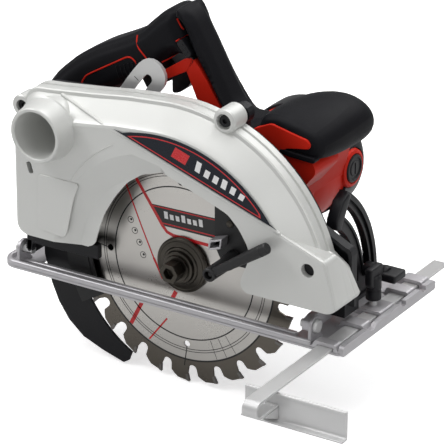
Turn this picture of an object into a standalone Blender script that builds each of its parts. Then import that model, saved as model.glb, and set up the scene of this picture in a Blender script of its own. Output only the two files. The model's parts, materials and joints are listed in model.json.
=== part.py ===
"""Hand-held circular saw with a 190 mm blade, a tilting sole, a depth arc and a parallel fence.

Lengths are in millimetres from the blade's centre: +X forward, +Y towards the motor, +Z up.
HUB moves them into the part's own frame, whose origin is the centre of the sole's underside.
"""
import bmesh
import bpy
from math import atan2, cos, hypot, pi, radians, sin
from mathutils import Matrix, Vector

MM = 0.001
HUB = Vector((1.5, -46.0, 29.0))

# Driving dimensions
BLADE_R = 95.0
TEETH = 24
TOOTH_PHASE = radians(2.6)
CUT_DEPTH = 66.0
SOLE_BOTTOM = CUT_DEPTH - BLADE_R
SOLE_TOP = SOLE_BOTTOM + 2.5
SOLE_X = (-150.0, 147.0)
SOLE_Y = (-22.0, 114.0)
SLOT_X = (-124.0, 101.5)
SLOT_Y = (-10.0, 40.0)
GAP = 0.3
BEVEL_AXIS = (-12.0, -15.0)
BEVEL_REST = 6.5
BEVEL_RANGE = 45.0
DEPTH_PIVOT = (120.0, 3.0)
DEPTH_RADIUS = 205.0
CLAMP_ANGLE = 177.0
GUARD_R = 101.0
GUARD_SPAN = (7.0, 210.0)
MOTOR = (30.0, 50.0)
MOTOR_R = 43.0
MODULE = 2.0
OUTPUT_TEETH = 23
IDLER_TEETH = 23
PINION_TEETH = 9
HANDLE_Y = (24.0, 60.0)
HANDLE_MID = sum(HANDLE_Y) / 2
BAR_X = (126.2, 138.3)
BAR_Z = (SOLE_TOP + GAP, SOLE_TOP + GAP + 2.0)
FENCE_SCREW = (129.5, 52.0)

COLOURS = {
    "steel": ((0.62, 0.62, 0.63), 0.35, 1.0),
    "zinc": ((0.55, 0.54, 0.57), 0.42, 1.0),
    "dark_steel": ((0.16, 0.15, 0.14), 0.4, 1.0),
    "aluminium": ((0.82, 0.83, 0.81), 0.45, 0.3),
    "red": ((0.72, 0.06, 0.04), 0.45, 0.0),
    "black": ((0.03, 0.03, 0.035), 0.5, 0.0),
    "rubber": ((0.05, 0.05, 0.055), 0.7, 0.0),
    "copper": ((0.75, 0.4, 0.22), 0.4, 1.0),
    "label": ((0.02, 0.03, 0.05), 0.3, 0.0),
}


def collection(name):
    made = bpy.data.collections.new(name)
    bpy.context.scene.collection.children.link(made)
    return made


for old in list(bpy.data.objects):
    bpy.data.objects.remove(old)
PARTS = collection("circular_saw")
CUTTERS = collection("cutters")


def material(name):
    if name in bpy.data.materials:
        return bpy.data.materials[name]
    colour, roughness, metallic = COLOURS[name]
    made = bpy.data.materials.new(name)
    made.use_nodes = True
    shader = made.node_tree.nodes["Principled BSDF"]
    shader.inputs["Base Color"].default_value = (*colour, 1.0)
    shader.inputs["Roughness"].default_value = roughness
    shader.inputs["Metallic"].default_value = metallic
    return made


def add(name, mesh, mat):
    """A part in the part's own frame from a mesh in blade millimetres."""
    mesh.transform(Matrix.Scale(MM, 4) @ Matrix.Translation(HUB))
    mesh.materials.clear()
    mesh.materials.append(material(mat))
    made = bpy.data.objects.new(name, mesh)
    PARTS.objects.link(made)
    mesh.shade_smooth()
    mesh.set_sharp_from_angle(angle=radians(35))
    return made


def from_bmesh(name, bm, mat):
    mesh = bpy.data.meshes.new(name)
    bm.to_mesh(mesh)
    bm.free()
    return add(name, mesh, mat)


def face_outward(bm):
    bmesh.ops.recalc_face_normals(bm, faces=bm.faces[:])
    if bm.calc_volume(signed=True) < 0:
        bmesh.ops.reverse_faces(bm, faces=bm.faces[:])


def block(name, xs, ys, zs, mat, bevel=0.0, turn=None):
    """A box between the given limits, optionally turned about its centre."""
    size = Vector((xs[1] - xs[0], ys[1] - ys[0], zs[1] - zs[0]))
    centre = Vector((sum(xs) / 2, sum(ys) / 2, sum(zs) / 2))
    bm = bmesh.new()
    bmesh.ops.create_cube(bm, size=1.0, matrix=Matrix.Diagonal((*size, 1.0)))
    if bevel:
        bmesh.ops.bevel(bm, geom=bm.edges[:], offset=bevel, segments=2, profile=0.5, affect="EDGES")
    spin = turn if turn else Matrix.Identity(4)
    bm.transform(Matrix.Translation(centre) @ spin)
    return from_bmesh(name, bm, mat)


def axis_matrix(axis, at):
    """Turns local +Z onto the axis and moves it to the point."""
    turn = Vector((0, 0, 1)).rotation_difference(Vector(axis)).to_matrix().to_4x4()
    return Matrix.Translation(Vector(at)) @ turn


def rod(name, at, axis, length, radius, mat, sides=16, bevel=0.0):
    """A cylinder from the point along the axis."""
    bm = bmesh.new()
    bmesh.ops.create_cone(bm, cap_ends=True, segments=sides, radius1=radius, radius2=radius,
                          depth=length, matrix=Matrix.Translation((0, 0, length / 2)))
    if bevel:
        rims = [e for e in bm.edges if abs(e.verts[0].co.z - e.verts[1].co.z) < 1e-6]
        bmesh.ops.bevel(bm, geom=rims, offset=bevel, segments=2, profile=0.5, affect="EDGES")
    bm.transform(axis_matrix(axis, at))
    return from_bmesh(name, bm, mat)


def plate(name, outlines, plane, low, high, mat, bevel=0.0):
    """Flat outlines in a plane (XZ, YZ or XY), with thickness along the third axis."""
    curve = bpy.data.curves.new(name, "CURVE")
    curve.dimensions = "2D"
    curve.fill_mode = "BOTH"
    curve.extrude = (high - low) / 2
    curve.render_resolution_u = 0
    for outline in outlines:
        spline = curve.splines.new("POLY")
        spline.points.add(len(outline) - 1)
        for point, (u, v) in zip(spline.points, outline):
            point.co = (u, v, 0, 1)
        spline.use_cyclic_u = True
    holder = bpy.data.objects.new(name + "_curve", curve)
    CUTTERS.objects.link(holder)
    mesh = bpy.data.meshes.new_from_object(holder.evaluated_get(bpy.context.evaluated_depsgraph_get()))
    bpy.data.objects.remove(holder)
    bm = bmesh.new()
    bm.from_mesh(mesh)
    bmesh.ops.remove_doubles(bm, verts=bm.verts[:], dist=1e-4)
    bmesh.ops.dissolve_limit(bm, angle_limit=radians(0.5), verts=bm.verts[:], edges=bm.edges[:])
    if bevel:
        rims = [e for e in bm.edges if abs(e.verts[0].co.z - e.verts[1].co.z) < 1e-6]
        bmesh.ops.bevel(bm, geom=rims, offset=bevel, segments=2, profile=0.5, affect="EDGES")
    middle = (high + low) / 2
    turns = {
        "XY": Matrix(((1, 0, 0, 0), (0, 1, 0, 0), (0, 0, 1, middle), (0, 0, 0, 1))),
        "XZ": Matrix(((1, 0, 0, 0), (0, 0, 1, middle), (0, 1, 0, 0), (0, 0, 0, 1))),
        "YZ": Matrix(((0, 0, 1, middle), (1, 0, 0, 0), (0, 1, 0, 0), (0, 0, 0, 1))),
    }
    bm.transform(turns[plane])
    face_outward(bm)
    return from_bmesh(name, bm, mat)


def turned(name, profile, at, axis, mat, steps=20):
    """A profile of (radius, height) down its outer side and back up, turned about the axis."""
    mesh = bpy.data.meshes.new(name)
    count = len(profile)
    points = [(r * MM, 0, h * MM) for r, h in profile]
    mesh.from_pydata(points, [(i, (i + 1) % count) for i in range(count)], [])
    mesh.materials.append(material(mat))
    made = bpy.data.objects.new(name, mesh)
    PARTS.objects.link(made)
    screw = made.modifiers.new("turn", "SCREW")
    screw.steps = steps
    screw.render_steps = steps
    screw.use_merge_vertices = True
    screw.merge_threshold = 1e-5
    made.matrix_world = axis_matrix(axis, (Vector(at) + HUB) * MM)
    return made


def ring(name, inner, outer, at, axis, length, mat, steps=20):
    profile = [(outer, length), (outer, 0), (inner, 0), (inner, length)]
    return turned(name, profile, at, axis, mat, steps)


def boolean(target, other, operation):
    step = target.modifiers.new(operation.lower(), "BOOLEAN")
    step.operation = operation
    step.object = other
    for holder in other.users_collection:
        holder.objects.unlink(other)
    CUTTERS.objects.link(other)
    other.hide_render = True
    other.display_type = "WIRE"
    return target


def cut(target, *others):
    for other in others:
        boolean(target, other, "DIFFERENCE")
    return target


def join(target, *others):
    for other in others:
        boolean(target, other, "UNION")
    return target


def polar(radius, degrees, centre=(0.0, 0.0)):
    return (centre[0] + radius * cos(radians(degrees)), centre[1] + radius * sin(radians(degrees)))


def arc(radius, start, end, steps, centre=(0.0, 0.0)):
    return [polar(radius, start + (end - start) * i / steps, centre) for i in range(steps + 1)]


def band(inner, outer, start, end, steps, centre=(0.0, 0.0)):
    """A ring sector's outline."""
    return arc(outer, start, end, steps, centre) + arc(inner, end, start, steps, centre)


def slot_band(middle, half, start, end, steps, centre):
    """A curved slot or strip with round ends."""
    first = polar(middle, start, centre)
    last = polar(middle, end, centre)
    return (arc(middle + half, start, end, steps, centre)
            + arc(half, end, end + 180, 6, last)[1:-1]
            + arc(middle - half, end, start, steps, centre)
            + arc(half, start + 180, start + 360, 6, first)[1:-1])


def rectangle(us, vs):
    return [(us[0], vs[0]), (us[1], vs[0]), (us[1], vs[1]), (us[0], vs[1])]


# ---------------------------------------------------------------- sole and fence

def make_sole():
    rear, front = SOLE_X
    near, far = SOLE_Y
    outline = ([(front, near), (front, far)] + arc(14, 90, 180, 4, (rear + 14, far - 14))
               + arc(12, 180, 270, 4, (rear + 12, near + 12)))
    slot = rectangle(SLOT_X, SLOT_Y)
    sole = plate("sole_plate", [outline, slot], "XY", SOLE_BOTTOM, SOLE_TOP, "zinc")
    root = SOLE_TOP - 1.0
    rim = SOLE_BOTTOM + 6.0
    ribs = [
        ((rear + 10, 121), (near, near + 4.5), rim),
        ((rear + 10, 121), (near + 7.5, near + 11.5), rim),
        ((rear + 12, 121), (far - 3, far), rim),
        ((rear, rear + 3), (near + 11, far - 13), rim),
        ((122, 125.7), (near, near + 7), rim),
        ((138.8, 142), (near, near + 7), rim),
        ((143.5, front), (near, 16), rim + 2),
        ((143.5, front), (26, 62), rim + 2),
        ((143.5, front), (68, 92), rim + 2),
        ((143.5, front), (98, far), rim + 2),
    ]
    for number, (xs, ys, top) in enumerate(ribs):
        join(sole, block(f"sole_rib_{number}", xs, ys, (root, top), "zinc"))
    for number, ys in enumerate([(near, near + 7), (18, 26), (42, 62), (84, 92), (104, far)]):
        bridge = rectangle((122.0, 142.0), (root, rim + 1.8))
        bridge = plate(f"sole_bridge_{number}", [bridge], "XZ", ys[0], ys[1], "zinc")
        tunnel = block(f"sole_tunnel_{number}", (BAR_X[0] - 0.5, BAR_X[1] + 0.5),
                       (ys[0] - 1, ys[1] + 1), (SOLE_TOP, BAR_Z[1] + GAP), "zinc")
        join(sole, cut(bridge, tunnel))
        tunnel.name = f"bridge_tunnel_{number}"
    ear_y, ear_z = BEVEL_AXIS
    for name, xs in (("rear", (-137.0, -134.5)), ("front", (116.5, 119.0))):
        ear = [(ear_y - 8, root), (ear_y + 8, root)] + arc(7, 0, 180, 8, BEVEL_AXIS)
        ear = plate(f"{name}_ear", [ear], "YZ", xs[0], xs[1], "zinc")
        join(sole, cut(ear, rod(f"{name}_ear_hole", (xs[0] - 2, ear_y, ear_z), (1, 0, 0), 8, 3.3, "zinc")))
    hole = rod("fence_screw_hole", (*FENCE_SCREW, BAR_Z[1]), (0, 0, 1), 8, 3.4, "zinc")
    return cut(sole, hole)


def make_quadrant():
    """Slotted bevel quadrant, standing on the sole."""
    start, end = BEVEL_REST, BEVEL_REST + BEVEL_RANGE
    centre = BEVEL_AXIS
    body = (arc(99, -2, end + 6, 9, centre) + arc(72, end + 6, 0, 9, centre)
            + [(58, SOLE_TOP + GAP), (90, SOLE_TOP + GAP)])
    slot = slot_band(86, 4.4, start, end, 9, centre)
    quadrant = plate("bevel_quadrant", [body, slot], "YZ", 106.5, 110.5, "black")
    foot = block("quadrant_foot", (96, 110.5), (58, 90), (SOLE_TOP + GAP, SOLE_TOP + 3.5), "black")
    flange = plate("quadrant_flange", [band(70, 100, end + 4.5, end + 8, 3, centre)], "YZ", 100, 110.5, "black")
    return join(quadrant, foot, flange)


def make_fence():
    bend = (-117.5, BAR_Z[1] - 7.0)
    outline = ([(150.0, BAR_Z[0]), (150.0, BAR_Z[1])] + arc(7, 90, 270, 12, bend)
               + [(-95.3, bend[1] - 7), (-95.3, bend[1] - 5)] + arc(5, 270, 90, 12, bend))
    plate("guide_bar", [outline], "YZ", BAR_X[0], BAR_X[1], "steel")
    face = [(-95, -28), (-93, -28), (-93, -50), (-101, -50), (-101, -48.2), (-95, -48.2)]
    plate("fence_plate", [face], "YZ", 111, 197, "steel")
    under = bend[1] - 7 - GAP
    gusset = [(-95.3, under), (-110, under), (-110, under - 1.8), (-95.3, under - 8.5)]
    plate("fence_bracket", [gusset], "YZ", BAR_X[0] + 0.4, BAR_X[1], "steel")


def wing_screw(name, at, axis, stem, mat="black"):
    """A barrel with a flat two-sided wing above a threaded stem."""
    x, y, z = at
    barrel = rod(name, at, axis, 19, 5.75, mat, 20, 0.8)
    if axis == (0, 0, 1):
        wing = block(name + "_wing", (x - 3, x + 3), (y - 8.6, y + 8.6), (z + 12, z + 27), mat, 1.5)
        bottom = (x, y, z - stem)
    else:
        wing = block(name + "_wing", (x + 8, x + 25), (y - 8.6, y + 8.6), (z - 3, z + 3), mat, 1.5)
        bottom = (x - stem, y, z)
    join(barrel, wing)
    return cut(barrel, rod(name + "_socket", bottom, axis, stem + 8, 3.3, mat)), bottom


# ---------------------------------------------------------------- tilt frame

def make_tilt_frame():
    low, high = -17.0, -6.0
    frame = block("tilt_frame", (-131, 128), (25, 33), (low, high), "black")
    join(frame,
         block("rear_beam", (-131, -126), (-15, 29), (low, high), "black"),
         block("rear_lip", (-127, -66), (-15, -9.6), (low, high), "black"),
         block("front_beam", (107, 116.2), (-17, 29), (-20, -8.5), "black"),
         block("pivot_foot", (112, 128), (13, 29), (low, high), "black"),
         plate("pivot_post", [[(112, -8), (128, -8)] + arc(8, 0, 180, 8, DEPTH_PIVOT)], "XZ",
               13, 19, "black"),
         block("arc_seat", (-100, -74), (16.8, 29), (low, high), "black"),
         bevel_arm())
    y, z = BEVEL_AXIS
    return cut(frame,
               rod("rear_pin_hole", (-140, y, z), (1, 0, 0), 30, 3.3, "black"),
               rod("front_pin_hole", (100, y, z), (1, 0, 0), 30, 3.3, "black"),
               rod("post_hole", (DEPTH_PIVOT[0], 0, DEPTH_PIVOT[1]), (0, 1, 0), 30, 4.3, "black"))


def bevel_arm():
    """Radial arm that carries the bevel screw behind the quadrant's slot."""
    far = polar(86, BEVEL_REST, BEVEL_AXIS)
    tilt = BEVEL_REST
    outline = arc(5, tilt + 90, tilt + 270, 8, (22, -11.4)) + arc(5.6, tilt - 90, tilt + 90, 8, far)
    arm = plate("bevel_arm", [outline], "YZ", 103, 106.2, "black")
    return cut(arm, rod("arm_hole", (100, far[0], far[1]), (1, 0, 0), 10, 3.3, "black"))


def make_depth_arc():
    strip = slot_band(DEPTH_RADIUS, 12.6, 140.2, 183, 12, DEPTH_PIVOT)
    slot = slot_band(DEPTH_RADIUS, 3.6, 141, 178.5, 12, DEPTH_PIVOT)
    return plate("depth_arc", [strip, slot], "XZ", 13.4, 16.4, "steel")


# ---------------------------------------------------------------- cover and guards

def cover_outline(inset, rear_inset, foot_inset=0.0):
    """The casing's side outline; the round back and top draw in more than the rear and the foot."""
    top = 130.0 - inset
    front = 141.0 - foot_inset
    shoulder = 41.0 - foot_inset
    rear = -132.0 + rear_inset
    return ([(front, 6), (front, shoulder - 1)] + arc(5, 0, 90, 3, (front - 5, shoulder))[1:]
            + arc(top, 25, 94, 11) + [(-70, top - 5), (-104, top - 8)]
            + arc(16, 100, 180, 4, (rear + 16, top - 25)) + [(rear, 6)])


def loft(name, sections, mat):
    """Closed solid through outlines with the same number of points at rising Y."""
    bm = bmesh.new()
    rings = [[bm.verts.new((x, y, z)) for x, z in outline] for y, outline in sections]
    count = len(rings[0])
    for lower, upper in zip(rings, rings[1:]):
        for i in range(count):
            j = (i + 1) % count
            bm.faces.new((lower[i], lower[j], upper[j], upper[i]))
    bmesh.ops.triangulate(bm, faces=bm.faces[:])
    bm.faces.new(rings[0])
    bm.faces.new(rings[-1])
    face_outward(bm)
    return from_bmesh(name, bm, mat)


OPENING = [(-61, -10), (-61, 6), (-59, 21), (-54, 36), (-45, 51), (-34, 65), (-19, 75), (-4, 80), (14, 80),
           (38, 75), (54, 71), (62, 62), (70, 50), (69, 38), (64, 30), (62, 20), (64, 11), (72, 5), (72, -10)]
DUST_PORT = (-99.0, 95.0)
BOSS = (45.0, 126.0)


def make_cover():
    outer = loft("guard_cover", [
        (-30, cover_outline(17, 4)), (-28.5, cover_outline(15, 3)), (-15, cover_outline(5, 1)),
        (-13.5, cover_outline(4, 0)), (-12, cover_outline(0, 0)), (4, cover_outline(0, 0))], "aluminium")
    join(outer, rod("cover_boss", (BOSS[0], -16, BOSS[1]), (0, 1, 0), 20, 8, "aluminium"),
         rod("port_root", (DUST_PORT[0], -30, DUST_PORT[1]), (0, 1, 0), 16, 21, "aluminium", 32))
    ring("dust_port", 18, 21, (DUST_PORT[0], -46, DUST_PORT[1]), (0, 1, 0), 16 - GAP, "aluminium", 32)
    wall = 2.4

    def shrunk(inset, rear_inset):
        kept = cover_outline(inset + wall, rear_inset + wall, wall)
        return [(x, -8.0) if z <= 6.0 else (x, z) for x, z in kept]

    hollow = loft("cover_hollow", [
        (-27.6, shrunk(16, 3.5)), (-12.5, shrunk(3, 0)), (6, shrunk(0, 0))], "aluminium")
    return cut(
        outer, hollow,
        plate("cover_opening", [OPENING], "XZ", -40, -20, "aluminium"),
        rod("dust_bore", (DUST_PORT[0], -50, DUST_PORT[1]), (0, 1, 0), 30, 18, "aluminium", 32),
        rod("cover_eye", (122, -40, 36), (0, 1, 0), 20, 5, "aluminium"),
        rod("boss_bore", (BOSS[0], -20, BOSS[1]), (0, 1, 0), 30, 2.8, "aluminium"))


def make_inner_guard():
    """Wall behind the blade, with the spindle's bearing seat."""
    outer = cover_outline(5, 1, 3)[1:-1]
    inner = cover_outline(7.5, 3.5, 5.5)[1:-1]
    front, rear = outer[0][0], outer[-1][0]
    outline = [(front, -4)] + outer + [(rear, -4), (-100, -4), (-100, 6), (104, 6), (104, -4)]
    wall = plate("inner_guard", [outline], "XZ", 9, 12, "black")
    lip = [(front, 8)] + outer + [(rear, 8), (inner[-1][0], 8)] + inner[::-1] + [(inner[0][0], 8)]
    lip = plate("inner_rim", [lip], "XZ", 4.4, 10, "black")
    join(wall, lip,
         rod("bearing_seat", (0, 8.4, 0), (0, 1, 0), 3, 17, "black", 32),
         rod("boss_seat", (BOSS[0], 4.4, BOSS[1]), (0, 1, 0), 7.6, 7.5, "black"),
         block("boss_web", (38, 49), (4.4, 12), (112, 124), "black"),
         block("knife_seat", (-126, -106), (1.6, 10), (-4, 10), "black"))
    clamp = polar(DEPTH_RADIUS, CLAMP_ANGLE, DEPTH_PIVOT)
    return cut(wall,
               rod("bearing_bore", (0, 0, 0), (0, 1, 0), 30, 13.3, "black", 32),
               rod("pivot_bore", (DEPTH_PIVOT[0], 0, DEPTH_PIVOT[1]), (0, 1, 0), 30, 4.3, "black"),
               rod("clamp_bore", (clamp[0], 0, clamp[1]), (0, 1, 0), 30, 3.3, "black"),
               rod("boss_hole", (BOSS[0], 0, BOSS[1]), (0, 1, 0), 30, 2.8, "black"),
               rod("knife_screw_bore", (-115, -5, 3), (0, 1, 0), 30, 3.3, "black"))


def make_riving_knife():
    outline = (arc(96.5, 172, 241, 14) + [(-48.5, -88.5), (-49.5, -91.5), (-54, -94.2), (-72, -89), (-90, -82),
               (-103, -71), (-112, -58), (-118, -44), (-124, -22), (-125, 9), (-100, 9)])
    knife = plate("riving_knife", [outline], "XZ", -1.25, 1.25, "black")
    return cut(knife, rod("knife_hole", (-115, -5, 3), (0, 1, 0), 10, 3.3, "black"))


def make_lower_guard():
    start, end = GUARD_SPAN
    slit = 2.6
    disc = plate("lower_guard", [band(18, GUARD_R, start, end, 18)], "XZ", 5.5, 7.4, "black")
    lip = plate("guard_lip", [band(98.4, GUARD_R, start, end, 18)], "XZ", slit, 7.4, "black")
    hub = ring("guard_hub", 18, 26, (0, 4.9, 0), (0, 1, 0), 2.5, "black")
    join(disc, lip, hub)
    outer = plate("guard_outer", [band(79, GUARD_R, 55, end, 14)], "XZ", -6, -4.4, "black")
    outer_lip = plate("guard_outer_lip", [band(98.4, GUARD_R, start, end, 18)], "XZ", -6, -slit, "black")
    panel = [(30, 64), (30, 24), (36, 12.3)] + arc(GUARD_R, start, 60, 12)
    panel = plate("guard_panel", [panel], "XZ", -6, -4.4, "black")
    join(outer, outer_lip, panel)
    cut(outer, rod("lever_hole", (47, -10, 18.5), (0, 1, 0), 8, 3.3, "black"))
    bridge = band(98.4, GUARD_R, start, start + 30, 4)
    plate("guard_bridge", [bridge], "XZ", -slit + GAP, slit - GAP, "black")


def make_lever():
    boss = rod("guard_lever", (47, -42, 18.5), (0, 1, 0), 35.6, 5.2, "black", 20)
    reach = Vector((47.0, 0.0, 31.5))
    arm = rod("lever_arm", (47, -38, 18.5), reach.normalized(), reach.length, 3.9, "black", 16, 1.2)
    join(boss, arm)
    return cut(boss, rod("lever_bore", (47, -45, 18.5), (0, 1, 0), 50, 3.3, "black"))


# ---------------------------------------------------------------- blade and drive

def blade_outline():
    """Disc with raked teeth and round gullets; the tooth angle runs from +X to +Z."""
    pitch = 360.0 / TEETH
    start = TOOTH_PHASE * 180 / pi
    outline = []
    for tooth in range(TEETH):
        tip = start + tooth * pitch
        outline += [polar(BLADE_R - 1.6, tip - 8.6), polar(BLADE_R, tip - 1.6), polar(BLADE_R, tip)]
        outline += [polar(88.5, tip - 1.2)]
        outline += [polar(84.5, tip + 0.3), polar(81.8, tip + 2.4), polar(83.4, tip + 4.4)]
        outline += [polar(88.5, tip + 5.2)]
    return outline


def gear(name, teeth, centre, ys, phase, mat, bore):
    """Spur gear with straight-sided teeth, thinned for backlash."""
    radius = MODULE * teeth / 2
    pitch = 360.0 / teeth
    outline = []
    for tooth in range(teeth):
        mid = phase + tooth * pitch
        root, tip = radius - 1.25 * MODULE, radius + 0.85 * MODULE
        for r, share in ((root, -0.31), (tip, -0.1), (tip, 0.1), (root, 0.31)):
            outline.append(polar(r, mid + share * pitch, centre))
    hole = arc(bore, 0, 337.5, 15, centre)
    return plate(name, [outline, hole], "XZ", ys[0], ys[1], mat)


def idler_centre():
    """Where the idler meshes with both the output gear and the pinion."""
    to_output = MODULE * (OUTPUT_TEETH + IDLER_TEETH) / 2 + 0.15
    to_pinion = MODULE * (PINION_TEETH + IDLER_TEETH) / 2 + 0.15
    span = hypot(*MOTOR)
    along = (to_output ** 2 - to_pinion ** 2 + span ** 2) / (2 * span)
    aside = (to_output ** 2 - along ** 2) ** 0.5
    ux, uz = MOTOR[0] / span, MOTOR[1] / span
    return (ux * along - uz * aside, uz * along + ux * aside)


def make_drive():
    idler = idler_centre()
    toward_output = atan2(-idler[1], -idler[0]) * 180 / pi
    toward_motor = atan2(MOTOR[1] - idler[1], MOTOR[0] - idler[0]) * 180 / pi
    idler_pitch = 360.0 / IDLER_TEETH
    gear_y = (13.6, 19.0)
    gear("output_gear", OUTPUT_TEETH, (0, 0), gear_y, toward_output + 180, "steel", 6.3)
    gear("idler_gear", IDLER_TEETH, idler, gear_y, toward_output + idler_pitch / 2, "steel", 4.3)
    turned_by = (toward_motor - toward_output - idler_pitch / 2) / idler_pitch
    offset = turned_by - round(turned_by)
    pinion_pitch = 360.0 / PINION_TEETH
    phase = toward_motor + 180 + pinion_pitch / 2 + offset * pinion_pitch
    gear("pinion", PINION_TEETH, MOTOR, gear_y, phase, "steel", 4.3)
    rod("idler_shaft", (idler[0], 12.4, idler[1]), (0, 1, 0), 8.6, 4, "steel")
    rod("spindle", (0, -8.6, 0), (0, 1, 0), 29.4, 6, "steel")
    ring("spindle_bearing", 6.3, 13, (0, 8.0, 0), (0, 1, 0), 4.6, "steel")
    ring("inner_flange", 6.3, 22, (0, 1.5, 0), (0, 1, 0), 3.0, "dark_steel")
    flange = [(14, 8.0), (14, 4.2), (26.2, 3.4), (27, 2.6), (27, 0), (6.3, 0), (6.3, 8.0)]
    turned("outer_flange", flange, (0, -1.5, 0), (0, -1, 0), "dark_steel", 40)
    head = rod("arbor_bolt", (0, -22, 0), (0, 1, 0), 10.4, 8.6, "dark_steel", 6)
    join(head, rod("bolt_washer", (0, -12, 0), (0, 1, 0), 2.1, 11.5, "dark_steel", 28))
    cut(head, rod("bolt_socket", (0, -23, 0), (0, 1, 0), 6, 4.2, "dark_steel", 6))
    plate("saw_blade", [blade_outline(), arc(6.3, 0, 345, 23)], "XZ", -1.1, 1.1, "steel")


def make_motor():
    x, z = MOTOR
    up = (0, 1, 0)
    rod("armature_shaft", (x, 13.0, z), up, 118.0, 4, "steel")
    ring("armature_core", 4.3, 24, (x, 50, z), up, 45, "dark_steel")
    ring("commutator", 4.3, 12, (x, 108, z), up, 16, "copper", 28)
    ring("stator", 24.8, 38.5, (x, 50, z), up, 45, "dark_steel")
    fan = turned("cooling_fan", [(34, 4), (34, 0), (4.3, 0), (4.3, 12), (9, 12), (10, 4)], (x, 31, z), up, "black")
    for number in range(8):
        turn = Matrix.Rotation(radians(45 * number), 4, "Y")
        middle = Vector((x, 39, z)) + turn @ Vector((21, 0, 0))
        blade = block(f"fan_blade_{number}", (middle.x - 12, middle.x + 12), (34.5, 44), (middle.z - 0.8, middle.z + 0.8),
                      "black", 0.0, turn)
        join(fan, blade)
    ring("motor_bearing_front", 4.3, 11, (x, 25.0, z), up, 5, "steel")
    ring("motor_bearing_rear", 4.3, 9.5, (x, 127.5, z), up, 3.2, "steel")
    for name, side in (("left", -1), ("right", 1)):
        inner, outer = sorted((x + side * 12.4, x + side * 24))
        block(f"brush_{name}", (inner, outer), (114, 121), (z - 4, z + 4), "black")
        holder_in, holder_out = sorted((x + side * 14, x + side * 40))
        holder = block(f"brush_holder_{name}", (holder_in, holder_out), (111, 124), (z - 7, z + 7), "copper")
        bore_in, bore_out = sorted((x + side * 10, x + side * 45))
        cut(holder, block(f"brush_way_{name}", (bore_in, bore_out), (113.7, 121.3), (z - 4.3, z + 4.3), "copper"))
        cap = rod(f"brush_cap_{name}", (x + side * 40.6, 117.5, z), (side, 0, 0), 3.6, 9.5, "black", 28)
        slot = block(f"cap_slot_{name}", tuple(sorted((x + side * 43.4, x + side * 46))), (116.6, 118.4),
                     (z - 6, z + 6), "black")
        cut(cap, slot)


NECK = [(-16.8, 145.2), (-9.2, 149.8), (-3.9, 144.0), (10.2, 122.8), (19.2, 110.4), (27.8, 103.6), (44, 103.6),
        (44.5, 92), (92, 92), (96, 84), (80, 64), (60, 50), (-12, 52), (-6, 80), (1, 98), (-2, 113), (-13, 138)]
LEG = [(-150, 87.4), (-118, 79.2), (-112, 68), (-95, 58), (-50, 54), (-5, 66), (5, 40), (-40, 30), (-100, 38),
       (-136, 52), (-150, 70)]
GRIP = [(-150, 88), (-132, 113), (-113, 130), (-92, 143), (-73, 152), (-56, 161), (-45, 172), (-35, 181),
        (-22, 184.5), (-11, 178), (-1, 161), (12, 138), (22, 119), (31, 112), (44, 111.5), (44, 104),
        (28, 104), (19.5, 111), (10.5, 123.5), (-3.5, 144.5), (-9, 150.5), (-17, 146), (-25, 150), (-37, 133), (-70, 115),
        (-104, 95), (-118, 79.8)]


def make_housing():
    x, z = MOTOR
    housing = rod("motor_housing", (x, 24.3, z), (0, 1, 0), 102.5, MOTOR_R, "red", 32)
    low, high = HANDLE_Y
    join(housing,
         plate("neck", [NECK], "XZ", low + 0.6, high - 0.6, "red"),
         plate("rear_leg", [LEG], "XZ", low + 0.6, high - 0.6, "red"),
         block("knob_saddle", (28, 84), (50, 98), (66, 92), "red"))
    shaft = rod("shaft_bore", (x, 20, z), (0, 1, 0), 20, 5.5, "red")
    seat = rod("bearing_pocket", (x, 24, z), (0, 1, 0), 6.3, 11.3, "red", 32)
    hollow = rod("motor_hollow", (x, 30, z), (0, 1, 0), 110, 40.0, "red", 32)
    caps = rod("brush_bore", (x - 60, 117.5, z), (1, 0, 0), 120, 9.8, "red", 28)
    return cut(housing, hollow, shaft, seat, caps)


def make_end_cap():
    x, z = MOTOR
    cap = rod("end_cap", (x, 127.1, z), (0, 1, 0), 12, MOTOR_R + 0.5, "black", 32, 2.5)
    hollow = rod("cap_hollow", (x, 120, z), (0, 1, 0), 16, 38, "black", 32)
    cut(cap, hollow)
    seat = ring("cap_seat", 9.8, 13, (x, 127.5, z), (0, 1, 0), 9, "black")
    join(cap, seat)
    for row in range(4):
        height = z + (row - 1.5) * 13
        for side in (-1, 1):
            middle = x + side * 22
            cut(cap, block(f"vent_{row}_{side}", (middle - 7, middle + 7), (130, 145), (height - 2, height + 2),
                           "black"))
    return cap


GRIP_TILT = 30.0
TRIGGER_AT = (-46.0, 127.5)


def grip_box(name, along, across, ys, mat, bevel=0.0):
    """A box lined up with the grip's lower edge, placed about the trigger."""
    turn = Matrix.Rotation(radians(-GRIP_TILT), 4, "Y")
    middle_along, middle_across = sum(along) / 2, sum(across) / 2
    shift = turn @ Vector((middle_along, 0, middle_across))
    cx, cz = TRIGGER_AT[0] + shift.x, TRIGGER_AT[1] + shift.z
    half_a, half_c = (along[1] - along[0]) / 2, (across[1] - across[0]) / 2
    return block(name, (cx - half_a, cx + half_a), ys, (cz - half_c, cz + half_c), mat, bevel, turn)


LOCK_AT = (-14.5, 158.5)
LOCK_SIZE = (12.6, 6.0)
LOCK_TILT = 50.0


def lock_box(name, spare, ys, mat, bevel=0.0):
    """A box in the lock button's place, larger by the spare all round."""
    turn = Matrix.Rotation(radians(LOCK_TILT), 4, "Y")
    half_a, half_c = LOCK_SIZE[0] / 2 + spare, LOCK_SIZE[1] / 2 + spare
    x, z = LOCK_AT
    return block(name, (x - half_a, x + half_a), ys, (z - half_c, z + half_c), mat, bevel, turn)


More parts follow.
